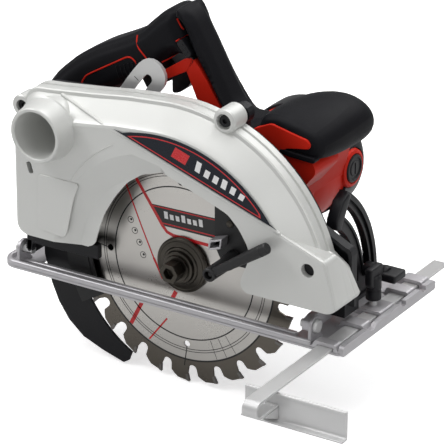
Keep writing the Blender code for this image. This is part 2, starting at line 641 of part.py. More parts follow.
def make_handle():
    low, high = HANDLE_Y
    grip = plate("rear_grip", [GRIP], "XZ", low, high, "rubber", 2.5)
    mid = HANDLE_MID
    cut(grip,
        grip_box("trigger_pocket", (-15.6, 15.6), (-14, 15), (mid - 7.6, mid + 7.6), "rubber"),
        grip_box("switch_pocket", (-12.4, 12.4), (13, 26), (mid - 7, mid + 7), "rubber"),
        lock_box("lock_pocket", 0.6, (low - 5, low + 14), "rubber"))
    grip_box("trigger", (-15, 15), (-9, 8), (mid - 7, mid + 7), "black", 2.0)
    grip_box("switch", (-12, 12), (14.6, 25.6), (mid - 6.6, mid + 6.6), "black")
    lock_box("lock_button", 0.0, (low - 1.5, low + 8), "black", 1.5)
    knob = block("front_grip", (45.5, 103), (23, 100), (92.4, 124), "rubber")
    soften = knob.modifiers.new("round", "BEVEL")
    soften.width = 11 * MM
    soften.segments = 4
    ring("cord_inlet", 4.5, 8, (-150.4, mid, 74), (-1, 0, 0), 7, "rubber", 20)


def make_gear_case():
    """Cup between the inner guard and the motor, round the gears."""
    idler = idler_centre()
    floor = 24.0
    outline = hull_outline([((0, 0), 28.6), (idler, 28.6), (MOTOR, 34.0)])
    inner = hull_outline([((0, 0), 26.4), (idler, 26.4), (MOTOR, 31.0)])
    case = plate("gear_case", [outline], "XZ", 12.3, floor, "black")
    cut(case, plate("gear_room", [inner], "XZ", 10, 21.5, "black"),
        rod("case_shaft_hole", (MOTOR[0], 18, MOTOR[1]), (0, 1, 0), 10, 5, "black"))
    return case


def hull_outline(circles):
    """Convex outline round circles of (centre, radius)."""
    points = [point for centre, radius in circles for point in arc(radius, 0, 345, 23, centre)]
    points = sorted(set(points))

    def half(sequence):
        chain = []
        for p in sequence:
            while len(chain) > 1:
                (ax, az), (bx, bz) = chain[-2], chain[-1]
                if (bx - ax) * (p[1] - az) - (bz - az) * (p[0] - ax) > 1e-9:
                    break
                chain.pop()
            chain.append(p)
        return chain[:-1]

    return half(points) + half(points[::-1])


def make_clamp():
    """Depth clamp: a bolt through the arc's slot with a lever behind it."""
    x, z = polar(DEPTH_RADIUS, CLAMP_ANGLE, DEPTH_PIVOT)
    rod("depth_clamp_bolt", (x, 8.6, z), (0, 1, 0), 12.4, 3, "steel")
    hub = rod("depth_lever", (x, 16.9, z), (0, 1, 0), 10, 7.5, "black")
    join(hub, block("lever_blade", (x - 46, x - 3), (19.5, 25.5), (z - 4, z + 4), "black", 1.2))
    return cut(hub, rod("lever_socket", (x, 15, z), (0, 1, 0), 6.5, 3.3, "black"))


def make_label():
    """Lens-shaped plate on the cover: a straight lower edge and a round upper one."""
    chord = [(93, 61.5), (-36, 107.5)]
    upper = arc(111.3, 108.7, 33.2, 16)
    return plate("guard_label", [chord + upper[1:-1]], "XZ", -31.0, -30.3, "label")


def main():
    make_sole()
    make_quadrant()
    make_fence()
    screw_x, screw_y = FENCE_SCREW
    wing_screw("fence_wing_screw", (screw_x, screw_y, -16.5), (0, 0, 1), 8)
    rod("fence_screw_stem", (screw_x, screw_y, BAR_Z[1] + GAP), (0, 0, 1), 14, 3, "steel")
    make_tilt_frame()
    make_depth_arc()
    axis_y, axis_z = BEVEL_AXIS
    rod("rear_bevel_pin", (-139, axis_y, axis_z), (1, 0, 0), 12.7, 3, "steel")
    rod("front_bevel_pin", (107.4, axis_y, axis_z), (1, 0, 0), 13.6, 3, "steel")
    rod("depth_pivot_pin", (DEPTH_PIVOT[0], 6.0, DEPTH_PIVOT[1]), (0, 1, 0), 15, 4, "steel")
    bolt_y, bolt_z = polar(86, BEVEL_REST, BEVEL_AXIS)
    rod("bevel_screw_stem", (102.5, bolt_y, bolt_z), (1, 0, 0), 16, 3, "steel")
    wing_screw("bevel_wing_screw", (110.9, bolt_y, bolt_z), (1, 0, 0), 0)
    make_cover()
    make_label()
    make_inner_guard()
    rod("boss_screw", (BOSS[0], -17.4, BOSS[1]), (0, 1, 0), 29, 2.5, "steel", 16)
    make_riving_knife()
    screw = rod("knife_screw", (-115, -1.6, 3), (0, -1, 0), 3.4, 6, "steel", 6)
    join(screw, rod("knife_screw_shank", (-115, -3, 3), (0, 1, 0), 11, 3, "steel"))
    make_lower_guard()
    make_lever()
    rod("lever_bolt", (47, -30, 18.5), (0, 1, 0), 27.5, 3, "dark_steel")
    make_drive()
    make_gear_case()
    make_motor()
    make_housing()
    make_end_cap()
    make_handle()
    make_clamp()


main()
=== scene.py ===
"""Looks of the circular saw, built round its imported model.

Lengths in the modelling functions are in millimetres from the blade's centre: +X forward, +Y towards the
motor, +Z up. HUB, read from the frame, moves them into the model's own frame in metres. PIVOT is the depth
hinge in XZ and PIN the bevel hinge in YZ.
"""
import json

import bmesh
import bpy
from math import cos, pi, radians, sin
from mathutils import Matrix, Vector


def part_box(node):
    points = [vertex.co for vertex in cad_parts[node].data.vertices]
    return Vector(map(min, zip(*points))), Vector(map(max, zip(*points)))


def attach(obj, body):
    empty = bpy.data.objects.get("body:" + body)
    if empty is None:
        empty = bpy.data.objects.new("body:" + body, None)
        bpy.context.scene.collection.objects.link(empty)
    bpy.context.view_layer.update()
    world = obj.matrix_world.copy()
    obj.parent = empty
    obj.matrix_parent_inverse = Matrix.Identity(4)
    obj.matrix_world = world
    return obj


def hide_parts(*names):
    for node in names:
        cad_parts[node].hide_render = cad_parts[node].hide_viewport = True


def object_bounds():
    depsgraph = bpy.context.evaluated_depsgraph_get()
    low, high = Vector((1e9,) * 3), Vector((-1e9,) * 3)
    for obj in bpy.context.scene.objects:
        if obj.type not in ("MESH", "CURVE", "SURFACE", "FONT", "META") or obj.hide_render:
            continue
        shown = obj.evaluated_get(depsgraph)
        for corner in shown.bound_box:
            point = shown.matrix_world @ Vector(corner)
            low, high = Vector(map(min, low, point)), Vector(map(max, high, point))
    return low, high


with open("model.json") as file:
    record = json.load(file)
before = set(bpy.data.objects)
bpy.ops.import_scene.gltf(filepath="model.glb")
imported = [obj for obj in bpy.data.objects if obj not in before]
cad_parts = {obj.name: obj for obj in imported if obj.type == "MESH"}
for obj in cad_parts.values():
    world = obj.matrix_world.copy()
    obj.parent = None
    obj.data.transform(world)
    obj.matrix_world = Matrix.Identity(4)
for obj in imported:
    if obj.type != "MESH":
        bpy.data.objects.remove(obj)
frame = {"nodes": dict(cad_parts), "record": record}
cad_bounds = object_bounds()

MM = 0.001
blade_low, blade_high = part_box("saw_blade")
HUB = [(low + high) / 2 / MM for low, high in zip(blade_low, blade_high)]
TO_FRAME = Matrix.Scale(MM, 4) @ Matrix.Translation(HUB)

BLADE_R = (blade_high[0] - blade_low[0]) / 2 / MM
TEETH = 24
TOOTH_PHASE = 2.6
SOLE_BOTTOM = -HUB[2]
SOLE_TOP = SOLE_BOTTOM + 2.5
MOTOR_X, MOTOR_Z = 30.0, 50.0
PIVOT = (120.0, 3.0)
PIN = (-12.0, -15.0)
PORT_X, PORT_Z = -99, 95
EAR_X, EAR_Z = -134.6, 98.8
BOSS_X, BOSS_Z = 43, 126
EYE_X, EYE_Z = 122, 36
CUTS_AT = (92.0, 182.0, 272.0, 2.0)
NEAR_SIDE, FAR_SIDE = -200.0, 300.0


# ---------------------------------------------------------------- camera, light and floor

def make_camera():
    data = bpy.data.cameras.new("camera")
    camera = bpy.data.objects.new("camera", data)
    bpy.context.scene.collection.objects.link(camera)
    azimuth, elevation, distance = radians(32.08), radians(24.05), 2.3781
    back = Vector((sin(azimuth) * cos(elevation), -cos(azimuth) * cos(elevation), sin(elevation)))
    right = Vector((cos(azimuth), sin(azimuth), 0.0))
    up = back.cross(right)
    hub = Vector(HUB) * MM
    camera.location = hub + back * distance + right * 0.03003 + up * 0.03017
    camera.rotation_euler = Matrix((right, up, back)).transposed().to_euler()
    data.sensor_width = 36.0
    data.lens = 263.93
    data.shift_x = -0.008
    data.shift_y = 0.0005
    data.clip_end = 20.0
    bpy.context.scene.camera = camera


def area_light(name, place, target, size, watts):
    data = bpy.data.lights.new(name, "AREA")
    data.energy = watts
    data.shape = "RECTANGLE"
    data.size, data.size_y = size
    light = bpy.data.objects.new(name, data)
    light.location = place
    light.rotation_euler = (Vector(place) - Vector(target)).to_track_quat("Z", "Y").to_euler()
    bpy.context.scene.collection.objects.link(light)


def add_node(tree, kind, inputs=None, **settings):
    """A shader node of that kind, with its own settings and its inputs' values."""
    made = tree.nodes.new("ShaderNode" + kind)
    for name, value in settings.items():
        setattr(made, name, value)
    for name, value in (inputs or {}).items():
        made.inputs[name].default_value = value
    return made


def wire(tree, source, output, target, socket):
    tree.links.new(source.outputs[output], target.inputs[socket])


def make_sky():
    """White light that fades towards the ground."""
    world = bpy.data.worlds.new("studio")
    bpy.context.scene.world = world
    world.use_nodes = True
    tree = world.node_tree
    sky = tree.nodes["Background"]
    sky.inputs["Color"].default_value = (1.0, 1.0, 1.0, 1.0)
    place = add_node(tree, "TexCoord")
    split = add_node(tree, "SeparateXYZ")
    height = add_node(tree, "MapRange", {"From Min": -0.1, "From Max": 0.9, "To Min": 0.10, "To Max": 0.7})
    wire(tree, place, "Generated", split, "Vector")
    wire(tree, split, "Z", height, "Value")
    wire(tree, height, "Result", sky, "Strength")


def floor_paper():
    """White to the camera, but a grey that throws less light back on the saw."""
    made = bpy.data.materials.new("floor_paper")
    made.use_nodes = True
    tree = made.node_tree
    paper = tree.nodes["Principled BSDF"]
    paper.inputs["Roughness"].default_value = 0.9
    paper.inputs["Emission Color"].default_value = (1.0, 1.0, 1.0, 1.0)
    seen = add_node(tree, "LightPath")
    glow = add_node(tree, "MapRange", {"To Min": 0.02, "To Max": 0.55})
    tone = add_node(tree, "Mix", {"A": (0.60, 0.60, 0.60, 1.0), "B": (0.93, 0.93, 0.93, 1.0)},
                    data_type="RGBA")
    wire(tree, seen, "Is Camera Ray", glow, "Value")
    wire(tree, seen, "Is Camera Ray", tone, "Factor")
    wire(tree, tone, "Result", paper, "Base Color")
    wire(tree, glow, "Result", paper, "Emission Strength")
    return made


def make_stage():
    scene = bpy.context.scene
    scene.view_settings.view_transform = "Standard"
    make_sky()
    middle = (0.0, 0.0, 0.05)
    area_light("key", (-1.6, -0.9, 1.6), middle, (0.8, 0.8), 17)
    area_light("fill", (1.7, -0.8, 0.9), middle, (0.9, 1.4), 4.5)
    area_light("rim", (0.2, 1.6, 1.4), middle, (1.6, 0.6), 9)
    area_light("top", (0.0, 0.1, 2.0), middle, (1.4, 1.0), 18)
    bm = bmesh.new()
    bmesh.ops.create_grid(bm, x_segments=1, y_segments=1, size=6.0)
    mesh = bpy.data.meshes.new("floor")
    bm.to_mesh(mesh)
    bm.free()
    mesh.materials.append(floor_paper())
    floor = bpy.data.objects.new("floor", mesh)
    floor.location.z = cad_bounds[0][2] - 0.0006
    scene.collection.objects.link(floor)


# ---------------------------------------------------------------- materials

def surface(name, colour, roughness, metallic=0.0, vary=0.1, grain=2200.0, bump=0.15, blotch=45.0,
            streak=(1.0, 1.0, 1.0), rough_vary=0.08, specular=0.5):
    """A surface with broad tone changes, fine grain in its height and uneven gloss."""
    made = bpy.data.materials.new(name)
    made.use_nodes = True
    tree = made.node_tree
    shader = tree.nodes["Principled BSDF"]
    shader.inputs["Metallic"].default_value = metallic
    shader.inputs["Specular IOR Level"].default_value = specular
    place = add_node(tree, "TexCoord")
    stretch = add_node(tree, "Mapping", {"Scale": streak})
    broad = add_node(tree, "TexNoise", {"Scale": blotch, "Detail": 4.0})
    fine = add_node(tree, "TexNoise", {"Scale": grain, "Detail": 3.0})
    half = add_node(tree, "Math", {1: 0.55}, operation="MULTIPLY")
    both = add_node(tree, "Math", {1: 0.45}, operation="MULTIPLY_ADD")
    dark = [c * (1 - vary) for c in colour]
    light = [min(1.0, c * (1 + vary)) for c in colour]
    tone = add_node(tree, "Mix", {"A": (*dark, 1.0), "B": (*light, 1.0)}, data_type="RGBA")
    gloss = add_node(tree, "MapRange", {"From Min": 0.3, "From Max": 0.7,
                                        "To Min": max(0.02, roughness - rough_vary),
                                        "To Max": roughness + rough_vary})
    relief = add_node(tree, "Bump", {"Strength": bump, "Distance": 0.0002})
    wire(tree, place, "Object", stretch, "Vector")
    wire(tree, place, "Object", broad, "Vector")
    wire(tree, stretch, "Vector", fine, "Vector")
    wire(tree, broad, "Fac", half, 0)
    wire(tree, fine, "Fac", both, 0)
    wire(tree, half, 0, both, 2)
    wire(tree, both, 0, tone, "Factor")
    wire(tree, tone, "Result", shader, "Base Color")
    wire(tree, both, 0, gloss, "Value")
    wire(tree, gloss, "Result", shader, "Roughness")
    wire(tree, fine, "Fac", relief, "Height")
    wire(tree, relief, "Normal", shader, "Normal")
    return made


def blade_surface():
    """Ground steel with fine circular grain, and a darker coated rim past the printed ring."""
    made = surface("blade_steel", (0.62, 0.60, 0.57), 0.30, 1.0, 0.05, 900, 0.04, 30, rough_vary=0.05)
    tree = made.node_tree
    shader = tree.nodes["Principled BSDF"]
    place = add_node(tree, "TexCoord")
    centred = add_node(tree, "VectorMath", {1: [h * MM for h in HUB]}, operation="SUBTRACT")
    flat = add_node(tree, "VectorMath", {1: (1.0, 0.0, 1.0)}, operation="MULTIPLY")
    length = add_node(tree, "VectorMath", operation="LENGTH")
    grain = add_node(tree, "TexNoise", {"Scale": 2600.0, "Detail": 3.0}, noise_dimensions="1D")
    relief = add_node(tree, "Bump", {"Strength": 0.10, "Distance": 0.0001})
    around = add_node(tree, "VectorMath", {1: (0.0, 1.0, 0.0)}, operation="CROSS_PRODUCT")
    rim = add_node(tree, "MapRange", {"From Min": 0.0768, "From Max": 0.0772})
    paint = add_node(tree, "Mix", {"B": (0.16, 0.145, 0.125, 1.0)}, data_type="RGBA")
    wire(tree, place, "Object", centred, 0)
    wire(tree, centred, "Vector", flat, 0)
    wire(tree, flat, "Vector", length, 0)
    wire(tree, length, "Value", grain, "W")
    wire(tree, grain, "Fac", relief, "Height")
    wire(tree, relief, "Normal", shader, "Normal")
    wire(tree, flat, "Vector", around, 0)
    wire(tree, around, "Vector", shader, "Tangent")
    shader.inputs["Anisotropic"].default_value = 0.7
    wire(tree, length, "Value", rim, "Value")
    wire(tree, rim, "Result", paint, "Factor")
    tree.links.new(shader.inputs["Base Color"].links[0].from_socket, paint.inputs["A"])
    wire(tree, paint, "Result", shader, "Base Color")
    return made


def make_materials():
    return {
        "zinc_steel": surface("zinc_steel", (0.52, 0.51, 0.53), 0.40, 0.55, 0.12, 1500, 0.10, 60),
        "bright_steel": surface("bright_steel", (0.68, 0.68, 0.68), 0.40, 0.5, 0.07, 1400, 0.10, 40,
                                streak=(1.0, 0.06, 1.0)),
        "blade_steel": blade_surface(),
        "carbide": surface("carbide", (0.20, 0.19, 0.18), 0.4, 0.8, 0.1),
        "dark_steel": surface("dark_steel", (0.075, 0.068, 0.058), 0.34, 1.0, 0.16, 1800, 0.08, 70),
        "cast_aluminium": surface("cast_aluminium", (0.66, 0.665, 0.645), 0.38, 0.25, 0.035, 2600, 0.10, 25,
                                  rough_vary=0.06),
        "black_paint": surface("black_paint", (0.008, 0.008, 0.010), 0.45, 0.0, 0.15, 2400, 0.12,
                               specular=0.3),
        "black_plastic": surface("black_plastic", (0.008, 0.008, 0.010), 0.40, 0.0, 0.15, 3000, 0.12,
                                 specular=0.3),
        "red_plastic": surface("red_plastic", (0.56, 0.020, 0.009), 0.42, 0.0, 0.06, 2600, 0.08,
                               specular=0.10),
        "grip_rubber": surface("grip_rubber", (0.007, 0.007, 0.009), 0.50, 0.0, 0.12, 3600, 0.30,
                               specular=0.10),
        "guard_paint": surface("guard_paint", (0.030, 0.030, 0.031), 0.42, 0.3, 0.15, 2400, 0.12,
                               specular=0.3),
        "label_print": surface("label_print", (0.003, 0.006, 0.014), 0.3, 0.0, 0.1, 1500, 0.02,
                               specular=0.3),
        "label_red": surface("label_red", (0.62, 0.015, 0.02), 0.3, 0.0, 0.05, 1500, 0.02),
        "label_white": surface("label_white", (0.85, 0.85, 0.85), 0.35, 0.0, 0.03, 1500, 0.02),
        "print_black": surface("print_black", (0.012, 0.012, 0.012), 0.4, 0.0, 0.1, 1500, 0.02),
        "copper": surface("copper", (0.72, 0.38, 0.22), 0.3, 1.0),
        "brass": surface("brass", (0.72, 0.55, 0.25), 0.32, 1.0),
        "carbon": surface("carbon", (0.03, 0.03, 0.03), 0.7),
    }


# ---------------------------------------------------------------- shapes

def polar(radius, degrees, centre=(0.0, 0.0)):
    return (centre[0] + radius * cos(radians(degrees)), centre[1] + radius * sin(radians(degrees)))


def arc(radius, start, end, steps, centre=(0.0, 0.0)):
    return [polar(radius, start + (end - start) * i / steps, centre) for i in range(steps + 1)]


def band(inner, outer, start, end, steps, centre=(0.0, 0.0)):
    return arc(outer, start, end, steps, centre) + arc(inner, end, start, steps, centre)


def slot_band(middle, half, start, end, steps, centre=(0.0, 0.0)):
    first, last = polar(middle, start, centre), polar(middle, end, centre)
    return (arc(middle + half, start, end, steps, centre) + arc(half, end, end + 180, 10, last)[1:-1]
            + arc(middle - half, end, start, steps, centre) + arc(half, start + 180, start + 360, 10,
                                                                  first)[1:-1])


def rounded(outline, radius, steps=4):
    """The outline with each corner replaced by a round of up to the radius."""
    result = []
    count = len(outline)
    for i, corner in enumerate(outline):
        here = Vector(corner)
        before, after = Vector(outline[i - 1]), Vector(outline[(i + 1) % count])
        reach = min(radius, (before - here).length * 0.48, (after - here).length * 0.48)
        start = here + (before - here).normalized() * reach
        end = here + (after - here).normalized() * reach
        for step in range(steps + 1):
            t = step / steps
            point = start * (1 - t) ** 2 + here * 2 * t * (1 - t) + end * t ** 2
            result.append((point.x, point.y))
    return result


def stroke(points, width):
    """A flat band of that width along an open polyline."""
    left, right = [], []
    for i, point in enumerate(points):
        here = Vector(point)
        ahead = Vector(points[min(i + 1, len(points) - 1)])
        behind = Vector(points[max(i - 1, 0)])
        along = (ahead - behind).normalized()
        side = Vector((-along.y, along.x)) * width / 2
        left.append(tuple(here + side))
        right.append(tuple(here - side))
    return left + right[::-1]


def face_outward(bm):
    bmesh.ops.recalc_face_normals(bm, faces=bm.faces[:])
    if bm.calc_volume(signed=True) < 0:
        bmesh.ops.reverse_faces(bm, faces=bm.faces[:])


def to_object(name, bm, material):
    mesh = bpy.data.meshes.new(name)
    bm.to_mesh(mesh)
    bm.free()
    mesh.transform(TO_FRAME)
    mesh.materials.append(MATS[material])
    mesh.shade_smooth()
    mesh.set_sharp_from_angle(angle=radians(32))
    made = bpy.data.objects.new(name, mesh)
    bpy.context.scene.collection.objects.link(made)
    return made


def flat_mesh(outlines, thickness):
    curve = bpy.data.curves.new("outline", "CURVE")
    curve.dimensions = "2D"
    curve.fill_mode = "BOTH"
    curve.extrude = thickness / 2
    for outline in outlines:
        spline = curve.splines.new("POLY")
        spline.points.add(len(outline) - 1)
        for point, (u, v) in zip(spline.points, outline):
            point.co = (u, v, 0, 1)
        spline.use_cyclic_u = True
    holder = bpy.data.objects.new("outline", curve)
    bpy.context.scene.collection.objects.link(holder)
    mesh = bpy.data.meshes.new_from_object(holder.evaluated_get(bpy.context.evaluated_depsgraph_get()))
    bpy.data.objects.remove(holder)
    bm = bmesh.new()
    bm.from_mesh(mesh)
    bmesh.ops.remove_doubles(bm, verts=bm.verts[:], dist=1e-4)
    bmesh.ops.dissolve_limit(bm, angle_limit=radians(0.2), verts=bm.verts[:], edges=bm.edges[:])
    return bm


def plate(name, outlines, plane, low, high, material, bevel=0.0, segments=3):
    """Flat outlines in a plane (XZ, YZ or XY), with thickness along the third axis and soft edges."""
    bm = flat_mesh(outlines, high - low)
    middle = (high + low) / 2
    turns = {
        "XY": Matrix(((1, 0, 0, 0), (0, 1, 0, 0), (0, 0, 1, middle), (0, 0, 0, 1))),
        "XZ": Matrix(((1, 0, 0, 0), (0, 0, 1, middle), (0, 1, 0, 0), (0, 0, 0, 1))),
        "YZ": Matrix(((0, 0, 1, middle), (1, 0, 0, 0), (0, 1, 0, 0), (0, 0, 0, 1))),
    }
    bm.transform(turns[plane])
    face_outward(bm)
    made = to_object(name, bm, material)
    return soften(made, bevel, segments) if bevel else made


def soften(made, width, segments=3, angle=35):
    step = made.modifiers.new("soft_edges", "BEVEL")
    step.width = width * MM
    step.segments = segments
    step.limit_method = "ANGLE"
    step.angle_limit = radians(angle)
    step.harden_normals = True
    return made


def axis_matrix(axis, at):
    turn = Vector((0, 0, 1)).rotation_difference(Vector(axis)).to_matrix().to_4x4()
    return Matrix.Translation(Vector(at)) @ turn


def lathe(name, profile, at, axis, material, steps=64, bevel=0.0, closed=True):
    """A profile of (radius, height) turned about the axis; radius 0 makes a pole, which ends the skin."""
    bm = bmesh.new()
    rings = []
    for radius, height in profile:
        if radius <= 1e-6:
            rings.append([bm.verts.new((0, 0, height))])
        else:
            rings.append([bm.verts.new((radius * cos(2 * pi * i / steps), radius * sin(2 * pi * i / steps),
                                        height))
                          for i in range(steps)])
    for lower, upper in zip(rings, rings[1:] + ([rings[0]] if closed else [])):
        for i in range(steps):
            j = (i + 1) % steps
            corners = [lower[i % len(lower)], lower[j % len(lower)], upper[j % len(upper)],
                       upper[i % len(upper)]]
            corners = list(dict.fromkeys(corners))
            if len(corners) > 2:
                bm.faces.new(corners)
    bm.transform(axis_matrix(axis, at))
    face_outward(bm)
    made = to_object(name, bm, material)
    return soften(made, bevel, 2) if bevel else made


def rod(name, at, axis, length, radius, material, steps=40, bevel=0.0):
    profile = [(0, 0), (radius, 0), (radius, length), (0, length)]
    return lathe(name, profile, at, axis, material, steps, bevel)


def block(name, xs, ys, zs, material, bevel=0.0, turn=None):
    size = Vector((xs[1] - xs[0], ys[1] - ys[0], zs[1] - zs[0]))
    centre = Vector((sum(xs) / 2, sum(ys) / 2, sum(zs) / 2))
    bm = bmesh.new()
    bmesh.ops.create_cube(bm, size=1.0, matrix=Matrix.Diagonal((*size, 1.0)))
    bm.transform(Matrix.Translation(centre) @ (turn if turn else Matrix.Identity(4)))
    made = to_object(name, bm, material)
    return soften(made, bevel) if bevel else made


def loft(name, sections, material, capped=True):
    """A skin through rings of (x, y, z) points, each with the same number."""
    bm = bmesh.new()
    rings = [[bm.verts.new(point) for point in ring] for ring in sections]
    count = len(rings[0])
    for lower, upper in zip(rings, rings[1:]):
        for i in range(count):
            j = (i + 1) % count
            bm.faces.new((lower[i], lower[j], upper[j], upper[i]))
    if capped:
        bm.faces.new(rings[0])
        bm.faces.new(rings[-1])
    face_outward(bm)
    return to_object(name, bm, material)


def boolean(target, operation, *others):
    """Applies a Boolean with each of the others, which are then removed."""
    for other in others:
        step = target.modifiers.new("shape", "BOOLEAN")
        step.operation = operation
        step.object = other
        depsgraph = bpy.context.evaluated_depsgraph_get()
        mesh = bpy.data.meshes.new_from_object(target.evaluated_get(depsgraph))
        target.modifiers.clear()
        target.data = mesh
        bpy.data.objects.remove(other)
    target.data.shade_smooth()
    target.data.set_sharp_from_angle(angle=radians(32))
    return target


def fuse(target, *others):
    return boolean(target, "UNION", *others)


def cut(target, *others):
    return boolean(target, "DIFFERENCE", *others)


def keep(piece, body, *nodes, slot=None):
    """The piece moves with the body and stands for the nodes. The slot argument is not used."""
    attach(piece, body)
    if nodes:
        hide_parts(*nodes)
    return piece


# ---------------------------------------------------------------- blade and arbor

def tooth_outline():
    """Raked teeth with round gullets; angles run from +X to +Z."""
    pitch = 360.0 / TEETH
    outline = []
    for tooth in range(TEETH):
        tip = TOOTH_PHASE + tooth * pitch
        outline += [polar(BLADE_R - 3.4, tip - 8.4), polar(BLADE_R - 1.2, tip - 6.2),
                    polar(BLADE_R - 0.6, tip - 1.8)]
        outline += [polar(BLADE_R - 0.5, tip - 0.5), polar(89.5, tip - 0.9)]
        centre = polar(84.9, tip + 2.2)
        facing = tip + 2.2
        outline += arc(3.7, facing - 88, facing - 272, 8, centre)
        outline += [polar(89.5, tip + 5.0)]
    return outline


def make_blade():
    slots = []
    for at in CUTS_AT:
        hole = polar(64.5, at)
        slots.append(arc(2.6, 0, 345, 23, hole))
    disc = plate("blade_disc", [tooth_outline(), arc(6.3, 0, 350, 35)] + slots, "XZ", -0.75, 0.75,
                 "blade_steel", 0.12, 2)
    keep(disc, "drive", "saw_blade")
    bm = bmesh.new()
    pitch = 360.0 / TEETH
    for tooth in range(TEETH):
        tip = TOOTH_PHASE + tooth * pitch
        corners = [polar(BLADE_R, tip), polar(BLADE_R - 0.5, tip - 1.5), polar(89.6, tip - 1.9),
                   polar(89.2, tip - 0.7)]
        lower = [bm.verts.new((x, -1.1, z)) for x, z in corners]
        upper = [bm.verts.new((x, 1.1, z)) for x, z in corners]
        bm.faces.new(lower)
        bm.faces.new(upper[::-1])
        for i in range(4):
            j = (i + 1) % 4
            bm.faces.new((lower[i], upper[i], upper[j], lower[j]))
    face_outward(bm)
    keep(to_object("carbide_tips", bm, "carbide"), "drive", slot="blade_steel")
    make_blade_print()


def ink(name, outlines, material, body="drive", slot="blade_steel", face=-0.75, depth=0.06):
    """A printed patch, proud of the face by a hair."""
    return keep(plate(name, outlines, "XZ", face - depth, face - 0.004, material), body, slot=slot)


def ring_outline(radius, width, steps=120):
    return [arc(radius + width / 2, 0, 360 - 360 / steps, steps - 1),
            arc(radius - width / 2, 0, 360 - 360 / steps, steps - 1)]


def make_blade_print():
    black, red, white = "print_black", "label_red", "label_white"
    for name, radius, width in (("rim", 77.0, 1.3), ("inner", 60.0, 1.0), ("pair_a", 68.2, 0.5),
                                ("pair_b", 70.1, 0.5)):
        ink(f"print_ring_{name}", ring_outline(radius, width), black)
    for number, at in enumerate(CUTS_AT):
        line = stroke([polar(66.5, at), polar(82.5, at - 2.0)], 0.8)
        ink(f"expansion_cut_{number}", [line], black, face=-0.76)
    sweep = [(-46, 68), (-40.8, 58.7), (-29.5, 42.5), (-18.3, 26.3), (-14.5, 22.2), (-9, 20.6), (2, 20.4),
             (24, 20.0)]
    ink("print_sweep", [stroke(sweep, 2.6)], red, face=-0.77)
    ink("print_line_a", [stroke([(-54, 62), (-49.3, 51.1), (-36.9, 21.8), (-26.4, -1.4)], 1.2)], red)
    ink("print_line_c2", [stroke([(-26.4, -1.4), (-22, -9.5), (-18.4, -16.6)], 2.0)], red)
    ink("print_line_b", [stroke([(-36, -38), (-47, -60)], 3.2)], red)
    ink("print_line_c", [stroke([(-15, -48), (-31, -69)], 1.3)], red)
    ink("print_line_d", [stroke([(-7, -24), (-12, -34)], 3.4)], red)
    panel = [(-29.8, 41.6), (34, 43.0), (34, 26.6), (-19.2, 26.4)]
    ink("print_panel", [panel], black)
    ink("print_panel_top", [stroke([(-28.4, 40.4), (34, 41.6)], 0.9)], red, face=-0.81)
    ink("print_panel_low", [stroke([(-19.6, 28.4), (34, 28.6)], 0.9)], red, face=-0.81)
    for number in range(7):
        left = -16.5 + number * 5.0
        base = 32.6 + number * 0.1
        tall = 4.0 if number % 3 else 5.6
        bar = [(left, base), (left + 3.2, base), (left + 2.6, base + tall), (left - 0.6, base + tall)]
        ink(f"print_bar_{number}", [bar], white, face=-0.81)
    for number, place in enumerate(((-46.2, 24.6), (-42.8, 16.6), (-38.8, 8.0), (-35.6, -1.3))):
        ink(f"print_dot_{number}", ring_about(2.4, 0.5, place), black)
        ink(f"print_pip_{number}", [arc(1.0, 0, 330, 11, (place[0] + 0.5, place[1] + 0.4))], black)
    for number in range(3):
        ink(f"print_scale_{number}", [stroke([polar(61, 292 + number * 7), polar(76, 292 + number * 7)],
                                             0.4)], black)


def ring_about(radius, width, centre):
    return [arc(radius + width / 2, 0, 345, 23, centre), arc(radius - width / 2, 0, 345, 23, centre)]


def make_arbor():
    dark = "dark_steel"
    flange = [(6.4, 0), (21.4, 0), (21.4, 2.0), (20.6, 2.9), (19.2, 3.2), (18.4, 2.7), (15.0, 3.4),
              (14.4, 4.6),
              (12.9, 4.9), (12.4, 7.8), (11.6, 8.1), (6.4, 8.1)]
    keep(lathe("clamp_flange", flange, (0, -1.5, 0), (0, -1, 0), dark, 80, 0.2), "drive",
         "outer_flange")
    washer = lathe("bolt_washer", [(0, 0), (10.2, 0), (10.4, 0.5), (10.0, 2.0), (0, 2.0)], (0, -9.9, 0),
                   (0, -1, 0), dark, 48, 0.15)
    keep(washer, "drive")
    head = rod("bolt_head", (0, -12.1, 0), (0, -1, 0), 9.7, 8.0, dark, 6)
    cut(head, rod("socket", (0, -16.5, 0), (0, -1, 0), 8, 4.4, dark, 6))
    soften(head, 0.5, 2)
    keep(head, "drive", "arbor_bolt")


# ---------------------------------------------------------------- upper guard

def cover_outline(inset, rear_inset, foot_inset=0.0, y=-30.0):
    """The casing's side outline; the round back and top draw in more than the rear and the foot."""
    drop = max(0.0, (y + 13.6) * 0.8)
    lean = min(1.0, max(0.0, (y + 29.0) / 15.4))
    start = 31.5 - 12 * lean - drop * 0.14
    top = 130.0 - inset
    front = 141.0 - foot_inset
    shoulder = 41.0 - foot_inset - drop
    rear = -132.0 + rear_inset
    return (arc(7, 270, 352, 5, (front - 2.6, 13)) + arc(6, 8, 62, 5, (front - 9.5, shoulder - 0.5))
            + arc(top, start, 94, 40) + [(-40, top - 2.8), (-70, top - 7), (-104, top - 11)]
            + arc(16, 100, 180, 9, (rear + 16, top - 28)) + arc(9, 180, 262, 5, (rear + 9, 15)))


def ring_at(y, outline):
    return [(x, y, z) for x, z in outline]


